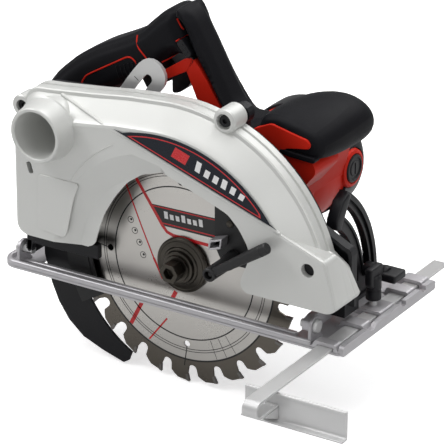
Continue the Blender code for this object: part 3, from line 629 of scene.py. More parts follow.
def make_cover():
    cast = "cast_aluminium"
    sections = [(4.0, 0, 0, 0), (-1.8, 0, 0, 0), (-2.4, 1.5, 1.2, 0.2), (-3.6, 1.5, 1.2, 0.2),
                (-4.2, 0.2, 0.2, 0), (-10.6, 0.2, 0.2, 0), (-11.6, 1.0, 0.6, 0.1), (-12.2, 3.4, 1.0, 0.2),
                (-13.6, 4.4, 1.2, 0.2), (-24.0, 13.4, 2.0, 0.2), (-27.4, 15.6, 2.6, 0.4),
                (-29.2, 17.4, 3.6, 0.9), (-30.0, 19.4, 5.4, 2.0)]
    shell = loft("upper_guard", [ring_at(y, cover_outline(a, b, c, y)) for y, a, b, c in sections], cast)
    boss = lathe("boss", [(0, 0), (7.4, 0), (8.8, 0.8), (9.4, 2.4), (9.4, 17), (0, 17)],
                 (BOSS_X, -14.8, BOSS_Z), (0, 1, 0), cast, 56)
    port = lathe("port", [(0, 0), (24.8, 0), (23.9, 1.0), (23.2, 4.4), (22.2, 11), (21.5, 15.5),
                          (21.1, 16.6), (20.4, 17.4), (0, 17.4)],
                 (PORT_X, -28.6, PORT_Z), (0, -1, 0), cast, 72)
    root = rod("port_root", (PORT_X, -30, PORT_Z), (0, 1, 0), 15, 21, cast, 72)
    ear = lathe("ear", [(0, 0), (7.8, 0), (8.8, 1.0), (8.8, 15), (0, 15)], (EAR_X, -11, EAR_Z), (0, 1, 0),
                cast, 48)
    fuse(shell, boss, port, root, ear)
    wall = 2.4

    def inside(inset, rear_inset, y):
        kept = cover_outline(inset + wall, rear_inset + wall, wall, y)
        return [(x, -8.0) if z <= 9.0 else (x, z) for x, z in kept]

    hollow = loft("hollow", [ring_at(-22.4, inside(16, 3.5, -24)), ring_at(-12.6, inside(8, 0, -12.6)),
                             ring_at(6, inside(0, 0, 6))],
                  cast)
    cut(hollow, block("foot_wall", (110, 150), (-40, 20), (12, 90), cast),
        rod("ear_wall", (EAR_X, -30, EAR_Z), (0, 1, 0), 40, 13.4, cast))
    slope = loft("slope", [
        ring_at(-31.0, arc(98, 187, 107, 16) + [(0, 88.5), (24, 60), (-40, -10)]),
        ring_at(-23.6, arc(75, 187, 107, 16) + [(-4, 79), (20, 54), (-40, -10)])], cast)
    opening = [(-70, -10), (-70, 6), (-65.5, 7.5), (-62.5, 10.5), (-61, 16), (-59, 22), (-54, 36), (-45, 51),
               (-34, 65), (-19, 75.6), (-4, 80.6), (4, 82.4), (22, 75.8), (40, 69.6), (56, 63.5), (65, 54.6),
               (72, 43.6), (74, 37), (72.4, 29), (69, 21), (66.6, 15), (66.8, 9.8), (71, 6), (78, 5),
               (90, 4.6), (90, -10)]
    bores = [plate("opening", [rounded(opening, 3, 2)], "XZ", -40, -20, cast),
             lathe("port_bore", [(0, 0), (18.8, 0), (18.8, 3.9), (18.0, 5), (15.6, 32), (0, 32)],
                   (PORT_X, -50, PORT_Z), (0, 1, 0), cast, 56),
             rod("eye", (EYE_X, -40, EYE_Z), (0, 1, 0), 20, 5.2, cast),
             rod("boss_bore", (BOSS_X, -20, BOSS_Z), (0, 1, 0), 9.0, 6.0, cast),
             rod("ear_pocket", (EAR_X, -40, EAR_Z), (0, 1, 0), 29, 11, cast),
             rod("screw_well", (EAR_X, -40, EAR_Z), (0, 1, 0), 33, 5.0, cast),
             plate("small_hole", [rounded([(-118.6, 65), (-114.4, 66), (-111.6, 57), (-115.8, 56)], 2, 4)],
                   "XZ", -40, -20, cast)]
    cut(shell, hollow, slope, *bores)
    shell.data.set_sharp_from_angle(angle=radians(13))
    soften(shell, 0.4, 2, 13)
    keep(shell, "saw", "guard_cover", "dust_port")
    crest = [(-97, -12.6, 116.6), (-86, -16, 115), (-73, -20.6, 112.8), (-60, -25, 110.8), (-50, -28.4, 108),
             (-30, -29.8, 102.6), (20, -29.8, 85.6), (60, -29.8, 72), (99, -29.6, 58.8)]
    keep(tube("crest_rib", crest, 1.3, cast), "saw")
    panel = [(-108.5, 58), (-108.5, 13.5), (-84, 11.5), (-79.6, 30), (-76.5, 44), (-71, 58)]
    keep(plate("cover_panel", [rounded(panel, 5, 4)], "XZ", -30.7, -29.6, cast, 0.6, 3), "saw")
    bow = [polar(104.2 - 6.6 * i / 20, 113.3 + 34.7 * i / 20) for i in range(21)]
    for name, line in (("shaft", bow), ("barb", [bow[-1], (-84.8, 52.4), (-86.8, 53.2)]),
                       ("point", [(-86.8, 53.4), (-86.3, 45), (-85.8, 36.2)])):
        groove = tube(f"turn_arrow_{name}", [(x, -30.0, z) for x, z in line], 0.4, cast)
        keep(groove, "saw")
    # A black disc sunk in the front eye hole: painted shade standing for the dark inside of the hole.
    keep(rod("eye_hole_painted_shade", (EYE_X, -25.6, EYE_Z), (0, 1, 0), 1.4, 6.2, "black_paint", 40), "saw")
    throat = lathe("port_throat", [(18.7, 0), (18.2, 4), (17.0, 14), (14.4, 26), (11.0, 34), (10.4, 34),
                                   (13.8, 26),
                                   (16.4, 14), (17.6, 4), (17.8, 0)], (PORT_X, -41.6, PORT_Z), (0, 1, 0),
                   cast, 64)
    keep(throat, "saw")
    for name, x, z, y, *nodes in (("rear", EAR_X, EAR_Z, -8.6), ("top", BOSS_X, BOSS_Z, -13.0,
                                                                 "boss_screw")):
        screw = rod(f"cover_screw_{name}", (x, y, z), (0, 1, 0), 3, 4.6, "black_paint", 32)
        cut(screw, rod("hex", (x, y - 1, z), (0, 1, 0), 2.6, 2.1, "dark_steel", 6))
        keep(soften(screw, 0.3, 2), "saw", *nodes, slot="dark_steel")
    make_label()


def make_label():
    lens = [(97, 61.4), (-40, 108.2)] + arc(111.6, 108.9, 33.4, 40)[1:-1]
    keep(plate("name_plate", [lens], "XZ", -31.0, -30.3, "label_print", 0.2, 2), "saw",
         "guard_label")
    border = [(84, 67.4), (-28, 105.6)] + arc(109.2, 104.4, 38.2, 34)[1:-1]
    inner = [(82.6, 68.6), (-25.6, 105.6)] + arc(108.4, 103.6, 39.0, 34)[1:-1]
    keep(plate("plate_border", [border, inner], "XZ", -31.08, -30.98, "label_red"), "saw",
         slot="label_print")
    mark = [(9, 98.2), (21, 94), (25, 101.8), (13, 106)]
    keep(plate("plate_mark", [mark], "XZ", -31.1, -30.98, "label_red"), "saw", slot="label_print")
    for number in range(6):
        left = 29.0 + number * 7.2
        base = 91.6 - number * 2.62
        tall = (8.0, 5.6, 5.6, 7.0, 5.6, 4.4)[number]
        bar = [(left, base), (left + 4.0, base - 1.45), (left + 6.2, base + tall - 1.45),
               (left + 2.2, base + tall)]
        keep(plate(f"plate_bar_{number}", [bar], "XZ", -31.1, -30.98, "label_white"), "saw",
             slot="label_print")


# ---------------------------------------------------------------- sculpted forms

def offset(outline, distance):
    """The outline drawn in by the distance along each corner's own bisector."""
    count = len(outline)
    area = sum(outline[i - 1][0] * outline[i][1] - outline[i][0] * outline[i - 1][1] for i in range(count))
    side = 1 if area > 0 else -1
    result = []
    for i in range(count):
        here = Vector(outline[i])
        first = (here - Vector(outline[i - 1])).normalized()
        second = (Vector(outline[(i + 1) % count]) - here).normalized()
        normal = (Vector((-first.y, first.x)) + Vector((-second.y, second.x))).normalized() * side
        result.append(tuple(here + normal * distance))
    return result


def sculpt(name, shapes, material, voxel=1.3, passes=10, ratio=0.4):
    """The overlapping shapes melted into one soft skin."""
    whole = bmesh.new()
    for shape in shapes:
        whole.from_mesh(shape.data)
        bpy.data.objects.remove(shape)
    mesh = bpy.data.meshes.new(name)
    whole.to_mesh(mesh)
    whole.free()
    mesh.materials.append(MATS[material])
    made = bpy.data.objects.new(name, mesh)
    bpy.context.scene.collection.objects.link(made)
    step = made.modifiers.new("melt", "REMESH")
    step.mode = "VOXEL"
    step.voxel_size = voxel * MM
    step = made.modifiers.new("relax", "SMOOTH")
    step.iterations = passes
    step = made.modifiers.new("thin", "DECIMATE")
    step.ratio = ratio
    settled = bpy.data.meshes.new_from_object(made.evaluated_get(bpy.context.evaluated_depsgraph_get()))
    made.modifiers.clear()
    made.data = settled
    settled.shade_smooth()
    return made


def pillow(name, outline, low, high, material, steps=((0, 7), (2.4, 3), (7, 0)), **options):
    """A thick outline whose edges fall away in steps of (inset, distance from each face)."""
    shapes = [plate(name, [offset(outline, inset)], "XZ", low + back, high - back, material)
              for inset, back in steps]
    return sculpt(name, shapes, material, **options)


def tube(name, points, radius, material):
    """A round line through the 3-D points."""
    curve = bpy.data.curves.new(name, "CURVE")
    curve.dimensions = "3D"
    curve.bevel_depth = radius
    curve.bevel_resolution = 3
    curve.use_fill_caps = True
    spline = curve.splines.new("NURBS")
    spline.points.add(len(points) - 1)
    for point, place in zip(spline.points, points):
        point.co = (*place, 1)
    spline.order_u = 3
    spline.use_endpoint_u = True
    holder = bpy.data.objects.new(name, curve)
    bpy.context.scene.collection.objects.link(holder)
    mesh = bpy.data.meshes.new_from_object(holder.evaluated_get(bpy.context.evaluated_depsgraph_get()))
    bpy.data.objects.remove(holder)
    bm = bmesh.new()
    bm.from_mesh(mesh)
    face_outward(bm)
    return to_object(name, bm, material)


def drape(target, outline, lift, from_y, spread=3.0):
    """The line's points laid on the face of the target that is met first, going along Y from from_y."""
    result, dense = [], []
    for a, b in zip(outline, outline[1:]):
        count = max(1, int((Vector(b) - Vector(a)).length / spread))
        dense += [tuple(Vector(a).lerp(Vector(b), i / count)) for i in range(count)]
    dense.append(outline[-1])
    heading = Vector((0, 1 if from_y < 0 else -1, 0))
    for x, z in dense:
        origin = TO_FRAME @ Vector((x, from_y, z))
        hit, place, _, _ = target.ray_cast(origin, heading)
        if hit:
            y = place.y / MM - HUB[1]
            result.append((x, y - heading.y * lift, z))
    return result


# ---------------------------------------------------------------- handle and motor

GRIP_LINE = [(-150, 88), (-132, 113), (-113, 130), (-92, 143), (-73, 152), (-56, 161), (-45, 172),
             (-35, 181),
             (-26, 184.4)]
GRIP_BODY = GRIP_LINE + [(-21.5, 179), (-17.5, 168), (-13, 157), (-9, 150.5), (-17, 146), (-25, 150),
                         (-37, 133),
                         (-70, 115), (-104, 95), (-118, 79.8)]
STRAP = [(-28, 184.0), (-18, 184.5), (-11, 178.5), (-1, 161.5), (12, 138), (22, 120), (31, 112.6),
         (54, 114.5),
         (54, 101.5), (28, 102.8), (19.2, 110.6), (10.2, 123), (-3.9, 144.3), (-9, 152), (-16.5, 168),
         (-20.5, 179)]
RED_NECK = [(-16.8, 145.2), (-9.2, 151), (-3.9, 146), (10.2, 125), (19.2, 112), (27.8, 104.6), (44, 103.6),
            (44.5, 92),
            (92, 92), (96, 84), (80, 64), (60, 50), (-12, 52), (-6, 80), (1, 98), (-2, 113), (-13, 138)]
RED_LEG = [(-149, 87.4), (-118, 80.6), (-112, 68), (-95, 58), (-50, 54), (-5, 66), (5, 40), (-40, 30),
           (-100, 38),
           (-136, 52), (-149, 70)]
LOCK_TURN = Matrix.Rotation(radians(50), 4, "Y")
LOCK_PLACE = TO_FRAME @ Matrix.Translation((-14.4, 0, 157)) @ LOCK_TURN @ TO_FRAME.inverted()


def make_grip():
    rubber, red = "grip_rubber", "red_plastic"
    body = pillow("grip_body", rounded(GRIP_BODY, 7, 3), 24.2, 59.8, rubber, passes=14)
    way = block("lock_way", (-7.9, 7.9), (18, 36.4), (-3.6, 3.6), rubber)
    way.data.transform(LOCK_PLACE)
    cut(body, way)
    keep(body, "saw", "rear_grip")
    strap = pillow("grip_strap", rounded(STRAP, 8, 4), 23.2, 56.5, rubber,
                   steps=((0, 7.5), (2.2, 3), (5.2, 0)),
                   passes=14)
    keep(strap, "saw")
    lines = {
        "panel": [(-105, 104), (-104.5, 113), (-101, 118.4), (-96, 121.6), (-66, 139.6), (-62.5, 141),
                  (-59, 140),
                  (-53, 134)],
        "collar": [(-57.6, 157.5), (-57.6, 154), (-54.5, 149.5), (-46, 141.5)],
        "foot": [(-36, 141.3), (-23.1, 149.6)],
        "apex": [(-24.4, 182.5), (-23.6, 177), (-19.6, 169), (-17.4, 164.6)],
        "fork": [(-22.4, 160.6), (-19.8, 163.4), (-17.2, 164.4), (-14.2, 162.8)],
    }
    for name, line in lines.items():
        for side, from_y in (("near", NEAR_SIDE), ("far", FAR_SIDE)):
            points = drape(body, line, 0.05, from_y)
            if len(points) > 2:
                keep(tube(f"seam_{name}_{side}", points, 0.62, red), "saw")
    for number in range(6):
        top = (-74.0 + number * 3.6, 131.5 + number * 1.4)
        line = [top, (top[0] + 2.2, top[1] - 8), (top[0] + 6.0, top[1] - 17)]
        for side, from_y in (("", NEAR_SIDE), ("far_", FAR_SIDE)):
            points = drape(body, line, 0.1, from_y)
            keep(tube(f"grip_rib_{side}{number}", points, 0.75, rubber), "saw")
    core = [(-27, 147), (-20, 159), (-10, 157), (-6.5, 150), (-10, 143), (-18, 141)]
    keep(plate("grip_core", [rounded(core, 3, 3)], "XZ", 36.6, 57, "black_plastic", 1.0), "saw")
    web = [(-27, 146.6), (-20.6, 152), (-10, 152), (-7, 149), (-10, 143), (-18, 141)]
    keep(plate("grip_web", [rounded(web, 2, 3)], "XZ", 25.4, 34, "black_plastic", 0.8), "saw")
    well = [(-30, 130), (-30, 117), (-24, 118.4), (-17, 124), (-11, 133), (-12, 142), (-24, 137)]
    keep(plate("trigger_well", [rounded(well, 2.5, 4)], "XZ", 31, 53, "black_plastic", 1.6), "saw")
    guard = [(-8.6, 150.8), (-14.5, 149.2), (-33, 136.4), (-34.6, 132.6), (-30.6, 129.8), (-13, 139.6)]
    for side, low in (("near", 25.2), ("far", 53.4)):
        cheek = plate(f"trigger_cheek_{side}", [rounded(guard, 2, 3)], "XZ", low, low + 5.4, red, 1.0)
        keep(cheek, "saw")


def make_knob():
    rows = [
        (22.6, [(52, 110), (56, 116), (64, 118.4), (78, 115.5), (91, 111), (97, 104.5), (95, 97), (80, 97),
                (64, 102),
                (55, 104)]),
        (25.5, [(45, 109), (49.5, 120.5), (61, 122), (78, 118.6), (95, 114.6), (102.5, 105.5), (99.5, 92.5),
                (80, 92.5),
                (60, 97), (47, 101)]),
        (50, [(40, 105), (47, 118.4), (61, 123.6), (80, 122.3), (98, 117.6), (106, 107), (103, 88), (82, 88),
              (60, 92), (44, 97)]),
        (80, [(36, 102.5), (44, 113.2), (57, 120.6), (75, 124.6), (95, 121.8), (107.6, 111), (106, 88.5),
              (84, 87.5),
              (60, 91.5), (42, 95.5)]),
        (95, [(43, 103.5), (52, 112), (64, 118), (80, 121.3), (95, 117.6), (107, 108), (105, 91), (86, 90),
              (64, 93.5), (50, 97)]),
        (99.2, [(56, 104), (62, 109), (70, 112.6), (82, 115), (91, 112.6), (97, 106), (96, 101), (86, 98.4),
                (70, 97.6), (62, 99.6)]),
    ]
    knob = loft("front_knob", [ring_at(y, outline) for y, outline in rows], "grip_rubber")
    step = knob.modifiers.new("round", "SUBSURF")
    step.levels = step.render_levels = 2
    keep(knob, "saw", "front_grip")
    face = [(44.5, 108.6), (60, 116.0), (90.5, 109.4), (92.6, 105.4), (91.2, 102.6), (73, 99.4), (66, 94.6),
            (50, 92)]
    keep(plate("knob_face", [rounded(face, 2.5, 3)], "XZ", 21.6, 31, "red_plastic", 1.2), "saw")
    finger = slot_band(300, 2.3, 263.4, 268.2, 4, (103.6, 394.6))
    keep(plate("knob_finger", [finger], "XZ", 21.2, 30, "grip_rubber", 1.4), "saw")


def make_housing():
    red, black = "red_plastic", "black_plastic"
    x, z = MOTOR_X, MOTOR_Z
    barrel = lathe("motor_barrel", [(0, 25.2), (41.6, 25.2), (43, 26.6), (43, 60), (42.7, 61), (42.7, 62.2),
                                    (43, 63.2),
                                    (43, 100), (42.4, 101.4), (42.4, 127), (38, 127), (38, 110), (0, 110)],
                   (x, 0, z), (0, 1, 0), red, 96)
    neck = plate("neck_shell", [rounded(RED_NECK, 5, 3)], "XZ", 25.4, 58.6, red)
    leg = plate("leg_shell", [rounded(RED_LEG, 6, 3)], "XZ", 25.4, 58.6, red)
    flank = [(72.9 + 15 * (rise / 46) ** 1.7, 50 + rise) for rise in range(0, 47, 2)]
    saddle = plate("saddle", [flank + [(24, 97), (30, 50)]], "XZ", 25.6, 106.5, red)
    fuse(barrel, neck, leg, saddle)
    soften(barrel, 1.8, 3, 40)
    keep(barrel, "saw", "motor_housing")
    for name, side in (("right", 1), ("left", -1)):
        tongue = lathe(f"brush_boss_{name}", [(0, 30), (15.2, 30), (15.2, 41.6), (14.2, 43.8), (11.8, 44.6),
                                              (11.2, 43.4), (0, 43.4)], (x, 117.5, z), (side, 0, 0), red, 64)
        keep(tongue, "saw")
        cap = lathe(f"brush_cap_{name}_ring", [(0, 42), (10.8, 42), (10.8, 44.6), (10.0, 45.4), (8.9, 45.4),
                                               (8.4, 44.5),
                                               (6.2, 44.5), (5.6, 45.2), (0, 45.2)], (x, 117.5, z),
                    (side, 0, 0),
                    black, 56)
        blade_slot = block("slot", tuple(sorted((x + side * 44.2, x + side * 47))), (116.7, 118.3),
                           (z - 4.6, z + 4.6),
                           black)
        cut(cap, blade_slot)
        keep(cap, "saw", f"brush_cap_{name}")
    skirt = lathe("end_skirt", [(43.1, 107.5), (44.6, 108.3), (44.8, 118), (44.6, 130), (42.4, 135.4),
                                (37.4, 138.4),
                                (14, 139.1), (0, 139.1), (0, 136.4), (36, 135.6), (40, 133), (41.9, 127),
                                (43.1, 127)], (x, 0, z), (0, 1, 0), black, 96, closed=False)
    notches = [rod("notch", (x + side * 30, 117.5, z), (side, 0, 0), 30, 15.6, black, 48) for side in (1,
                                                                                                       -1)]
    cut(skirt, *notches)
    vents = []
    for row in range(5):
        height = z + (row - 2) * 10.5
        reach = 30 if abs(row - 2) < 2 else 22
        vents += [block("vent", (x + side * 20 - reach / 2, x + side * 20 + reach / 2), (133, 145),
                        (height - 1.9, height + 1.9), black) for side in (1, -1)]
    cut(skirt, *vents)
    soften(skirt, 0.6, 2)
    keep(skirt, "saw", "end_cap")
    for number, at in enumerate((45, 135, 225, 315)):
        px, pz = polar(38.6, at, (x, z))
        head = lathe(f"cap_screw_{number}", [(0, 0), (3.4, 0), (3.4, 1.2), (2.6, 2.0), (0, 2.2)],
                     (px, 136.2, pz),
                     (0, 1, 0), "bright_steel", 32)
        cross = [block("cross", (px - 2, px + 2), (137.2, 140), (pz - 0.4, pz + 0.4), black),
                 block("cross", (px - 0.4, px + 0.4), (137.2, 140), (pz - 2, pz + 2), black)]
        cut(head, *cross)
        keep(head, "saw")


# ---------------------------------------------------------------- lower guard and riving knife

def make_lower_guard():
    paint = "guard_paint"
    front = [(30, 64), (30, 24), (36, 12.3)] + arc(101, 7, 60, 20)
    shell = plate("guard_shell", [band(79, 101, 55, 210, 60)], "XZ", -6, -4.4, paint)
    fuse(shell, plate("panel", [rounded(front, 3, 3)], "XZ", -6, -4.4, paint),
         plate("lip", [band(98.4, 101, 7, 210, 80)], "XZ", -6, -2.6, paint),
         plate("bead", [band(82, 84.4, 58, 206, 50)], "XZ", -6.7, -5, paint))
    keep(soften(shell, 0.45, 2), "guard", "guard_outer", slot="black_plastic")
    disc = plate("guard_disc", [band(18, 101, 7, 210, 80)], "XZ", 5.5, 7.3, paint)
    fuse(disc, plate("far_lip", [band(98.4, 101, 7, 210, 80)], "XZ", 2.6, 7.3, paint),
         lathe("sleeve", [(18, 0), (26, 0), (26, 2.4), (18, 2.4)], (0, 4.9, 0), (0, 1, 0), paint, 64))
    keep(soften(disc, 0.45, 2), "guard", "lower_guard", slot="black_plastic")
    link = plate("guard_link", [band(98.4, 101, 7, 37, 20)], "XZ", -2.6, 2.6, paint)
    keep(link, "guard", "guard_bridge", slot="black_plastic")
    boss = lathe("lever_boss", [(3.3, 0), (4.4, 0), (5.2, 0.8), (5.2, 22), (6.2, 26), (6.4, 35.4),
                                (3.3, 35.4)],
                 (47, -42, 18.5), (0, 1, 0), paint, 48)
    way = Vector((47.0, 0.0, 31.5))
    reach = way.length
    arm = lathe("lever_arm", [(0, 0), (3.1, 0), (3.3, 12), (3.9, reach * 0.5), (4.4, reach - 8),
                              (4.4, reach - 6.4),
                              (3.9, reach - 6), (3.9, reach - 5), (4.4, reach - 4.6), (4.2, reach - 0.8),
                              (3.4, reach), (0, reach)], (47, -38, 18.5), way.normalized(), paint, 40)
    fuse(boss, arm)
    keep(boss, "guard", "guard_lever", slot="black_plastic")
    tab = plate("lever_tab", [[(29.5, 23.5), (40.5, 27.0), (41.5, 35.0), (30.5, 31.5)],
                              [(31.3, 25.5), (39.2, 28.2), (39.9, 33.0), (32.0, 30.2)]], "XZ", -15, -5.9,
                "zinc_steel", 0.4)
    keep(tab, "guard", slot="black_plastic")
    for number, (x, z) in enumerate(((58, 33), (43, 44))):
        head = lathe(f"guard_rivet_{number}", [(0, 0), (3.0, 0), (2.8, 0.8), (1.8, 1.4), (0, 1.5)],
                     (x, -5.9, z),
                     (0, -1, 0), "dark_steel", 32)
        keep(head, "guard")


def make_knife():
    outline = (arc(96.5, 172, 241, 40) + [(-48.5, -88.5), (-49.5, -91.5), (-54, -94.2), (-72, -89),
                                          (-90, -82),
                                          (-103, -71), (-112, -58), (-118, -44), (-124, -22), (-125, 9),
                                          (-100, 9)])
    knife = plate("knife_blade", [outline, arc(3.3, 0, 345, 23, (-115, 3))], "XZ", -1.25, 1.25,
                  "black_paint", 0.5, 2)
    keep(knife, "saw", "riving_knife")


# ---------------------------------------------------------------- sole and fence

BAR_X = (126.2, 138.3)


def make_sole():
    zinc = "zinc_steel"
    rear, front, near, far = -150.0, 147.0, -22.0, 114.0
    sheet = front - 2.2
    edge = [(sheet, near + 3), (sheet, far - 3)] + arc(3, 0, 90, 3, (sheet - 3, far - 3))[1:]
    outline = (arc(3, 270, 360, 3, (sheet - 3, near + 3)) + edge[1:] + arc(14, 90, 180, 10,
                                                                           (rear + 14, far - 14))
               + arc(12, 180, 270, 10, (rear + 12, near + 12)))
    slot = [(-124, -10), (101.5, -10), (101.5, 40), (-124, 40)]
    marks = [[(x - 3.4, y - 1.1), (x + 3.4, y - 1.1), (x + 3.4, y + 1.1), (x - 3.4, y + 1.1)]
             for x, y in ((108.5, 46), (108.5, 62), (-138, 30), (-138, 70))]
    sole = plate("sole_sheet", [outline, rounded(slot, 5, 4)] + marks, "XY", SOLE_BOTTOM, SOLE_TOP, zinc)

    def rim(width, way):
        """The rolled edge's line, drawn in by the width."""
        line = ([(120, near + width)] + arc(12 - width, 270, 180, 10, (rear + 12, near + 12))
                + arc(14 - width, 180, 90, 10, (rear + 14, far - 14)) + [(120, far - width)])
        return line[::way]

    roll = plate("sole_roll", [rim(0, 1) + rim(4.2, -1)], "XY", SOLE_BOTTOM, SOLE_BOTTOM + 6.2, zinc, 1.9, 4)
    keep(roll, "sole")
    inner_rib = plate("inner_rib", [rounded([(rear + 12, -14.6), (104, -14.6), (104, -10.6),
                                             (rear + 12, -10.6)], 1.8, 3)],
                      "XY", SOLE_BOTTOM + 1, SOLE_BOTTOM + 5.6, zinc, 1.4, 3)
    keep(inner_rib, "sole")
    for number, ys in enumerate([(near, near + 8), (16, 27), (42, 62), (82, 93), (103, far)]):
        top = SOLE_BOTTOM + 8.0
        hat = [(118.5, SOLE_TOP - 1), (118.5, SOLE_TOP + 0.5), (121.4, SOLE_TOP + 0.8), (123.6, top),
               (140.8, top),
               (142.6, SOLE_TOP + 0.8), (145, SOLE_TOP + 0.5), (145, SOLE_TOP - 1)]
        bridge = plate(f"bar_bridge_{number}", [rounded(hat, 1.6, 3)], "XZ", *ys, zinc)
        cut(bridge, block("way", (BAR_X[0] - 0.5, BAR_X[1] + 0.5), (ys[0] - 1, ys[1] + 1),
                          (SOLE_TOP - 0.2, SOLE_BOTTOM + 5.1), zinc))
        keep(soften(bridge, 0.7, 3), "sole")
    wave = [(near, SOLE_BOTTOM), (near, SOLE_BOTTOM + 5)]
    for start, end in ((near + 2, 15), (28, 62), (69, 92), (99, far - 2)):
        wave += [(start, SOLE_BOTTOM + 8), (end, SOLE_BOTTOM + 8), (end + 3, SOLE_BOTTOM + 4.4),
                 (min(end + 8, far - 1), SOLE_BOTTOM + 4.4)]
    wave += [(far, SOLE_BOTTOM + 4), (far, SOLE_BOTTOM)]
    lip = plate("front_lip", [rounded(wave, 2.2, 3)], "YZ", 143.2, 147, zinc, 1.0, 3)
    keep(lip, "sole")
    for name, xs in (("rear", (-137.0, -134.5)), ("front", (116.5, 119.0))):
        ear = [(-22, SOLE_TOP - 0.5), (-1, SOLE_TOP - 0.5), (-4.4, SOLE_TOP + 3)] + arc(7.2, 10, 170, 14,
                                                                                        PIN) + [
            (-19.6, SOLE_TOP + 3)]
        made = plate(f"{name}_ear", [ear, arc(3.4, 0, 345, 23, PIN)], "YZ", *xs, zinc, 0.6)
        keep(made, "sole")
    cut(sole, rod("screw_hole", (129.5, 52, -40), (0, 0, 1), 30, 3.4, zinc))
    keep(soften(sole, 0.6, 2), "sole", "sole_plate")


def make_fence():
    steel = "bright_steel"
    low, high = -26.2, -24.2
    bend = (-117.5, high - 7.0)
    outline = ([(149, low)] + arc(1, 270, 450, 6, (149, low + 1)) + [(149, high)] + arc(7, 90, 270, 30, bend)
               + [(-95.3, bend[1] - 7), (-95.3, bend[1] - 5)] + arc(5, 270, 90, 30, bend))
    bar = plate("guide_strip", [outline], "YZ", *BAR_X, steel)
    keep(soften(bar, 0.5, 2), "fence", "guide_bar")
    face = [(-95, -28), (-93.4, -27.6), (-93, -28.2), (-93, -49), (-94.2, -50), (-100, -50), (-101, -49.4),
            (-101, -48.2), (-96.4, -48.2), (-95, -47)]
    runner = plate("fence_runner", [rounded(face, 1.2, 3)], "YZ", 111, 192.5, steel, 0.5, 2)
    keep(runner, "fence", "fence_plate")
    fold = plate("fence_fold", [[(112, -28), (191.5, -28), (191.5, -30), (112, -30)]], "XZ", -95.8, -94.6,
                 steel, 0.4)
    keep(fold, "fence")
    under = bend[1] - 7.3
    web = [(-95.3, under), (-110, under), (-111, under - 1.8), (-96.4, under - 8.5), (-95.3, under - 8.5)]
    gusset = plate("fence_web", [rounded(web, 0.8, 2)], "YZ", BAR_X[0] + 0.4, BAR_X[1], steel, 0.4)
    keep(gusset, "fence", "fence_bracket")
    for number, x in enumerate((129.3, 135.2)):
        spot = lathe(f"weld_{number}", [(0, 0), (1.7, 0), (1.3, 0.5), (0, 0.7)], (x, -97.6, bend[1] - 5.1),
                     (0, 0, 1), steel,
                     24)
        keep(spot, "fence")


def foot_of(node, axis):
    """The middle of the node's lower end along the axis."""
    low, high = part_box(node)
    middle = [(a + b) / 2 / MM - h for a, b, h in zip(low, high, HUB)]
    middle[axis] = low[axis] / MM - HUB[axis]
    return tuple(middle)


def wing_screw(name, node, body, at, axis):
    """A barrel with a thick flat wing, waisted above its foot."""
    black = "black_plastic"
    x, y, z = at
    barrel = lathe(name, [(3.4, 0), (5.4, 0), (5.75, 0.6), (5.75, 7), (5.3, 8), (5.75, 9), (5.75, 17),
                          (4.8, 19),
                          (0, 19), (0, 8), (3.4, 8)], at, axis, black, 40)
    if axis == (0, 0, 1):
        wing = [(y - 5.6, z + 10), (y - 8.6, z + 13), (y - 8.6, z + 26), (y + 8.6, z + 26),
                (y + 8.6, z + 17), (y + 5.6, z + 13)]
        blade = plate("wing", [rounded(wing, 2, 4)], "YZ", x - 3, x + 3, black, 1.3)
    else:
        wing = [(x + 7, y - 5), (x + 11, y - 8.6), (x + 29, y - 8.6), (x + 29, y + 8.6), (x + 11, y + 8.6),
                (x + 7, y + 5)]
        blade = plate("wing", [rounded(wing, 2, 4)], "XY", z - 3, z + 3, black, 1.3)
    fuse(barrel, blade)
    keep(soften(barrel, 0.3, 2), body, node)


# ---------------------------------------------------------------- tilt parts and controls

def make_tilt_frame():
    black, zinc = "black_paint", "zinc_steel"
    low, high = -17.0, -6.0
    far = polar(86, 6.5, PIN)
    arm = arc(5, 96.5, 276.5, 12, (22, -11.4)) + arc(5.6, -83.5, 96.5, 16, far)
    casting = block("tilt_casting", (-131, 128), (25, 33), (low, high), black)
    fuse(casting,
         block("rear_beam", (-131, -126), (-15, 29), (low, high), black),
         block("pivot_foot", (112, 128), (13, 29), (low, high), black),
         plate("pivot_post", [[(112, -8), (128, -8)] + arc(8, 0, 180, 24, PIVOT)], "XZ", 13, 19, black),
         block("arc_seat", (-100, -74), (16.8, 29), (low, high), black),
         plate("bevel_arm", [arm], "YZ", 103, 106.2, black))
    cut(casting, rod("rear_pin_hole", (-140, *PIN), (1, 0, 0), 30, 3.3, black),
        rod("post_hole", (PIVOT[0], 0, PIVOT[1]), (0, 1, 0), 30, 4.3, black),
        rod("arm_hole", (100, *far), (1, 0, 0), 10, 3.3, black))
    keep(soften(casting, 1.0, 3), "frame", "tilt_frame")
    rail = [(-130.6, -16), (-126.4, -16), (-125, -8), (-66, -7.6), (-66, 4.4), (-127, 4.4), (-130.6, 1)]
    keep(plate("tilt_rear_rail", [rounded(rail, 1.6, 3)], "XZ", -15, -9.6, black, 0.9, 3), "frame")
    beam = [(-17, -18.6), (-13, -20), (26, -20), (26, -9.4), (-8, -8.6), (-17, -11)]
    front = plate("tilt_front_beam", [rounded(beam, 1.6, 3), arc(3.3, 0, 345, 23, PIN)], "YZ", 110, 116.2,
                  zinc,
                  0.8, 3)
    keep(front, "frame")


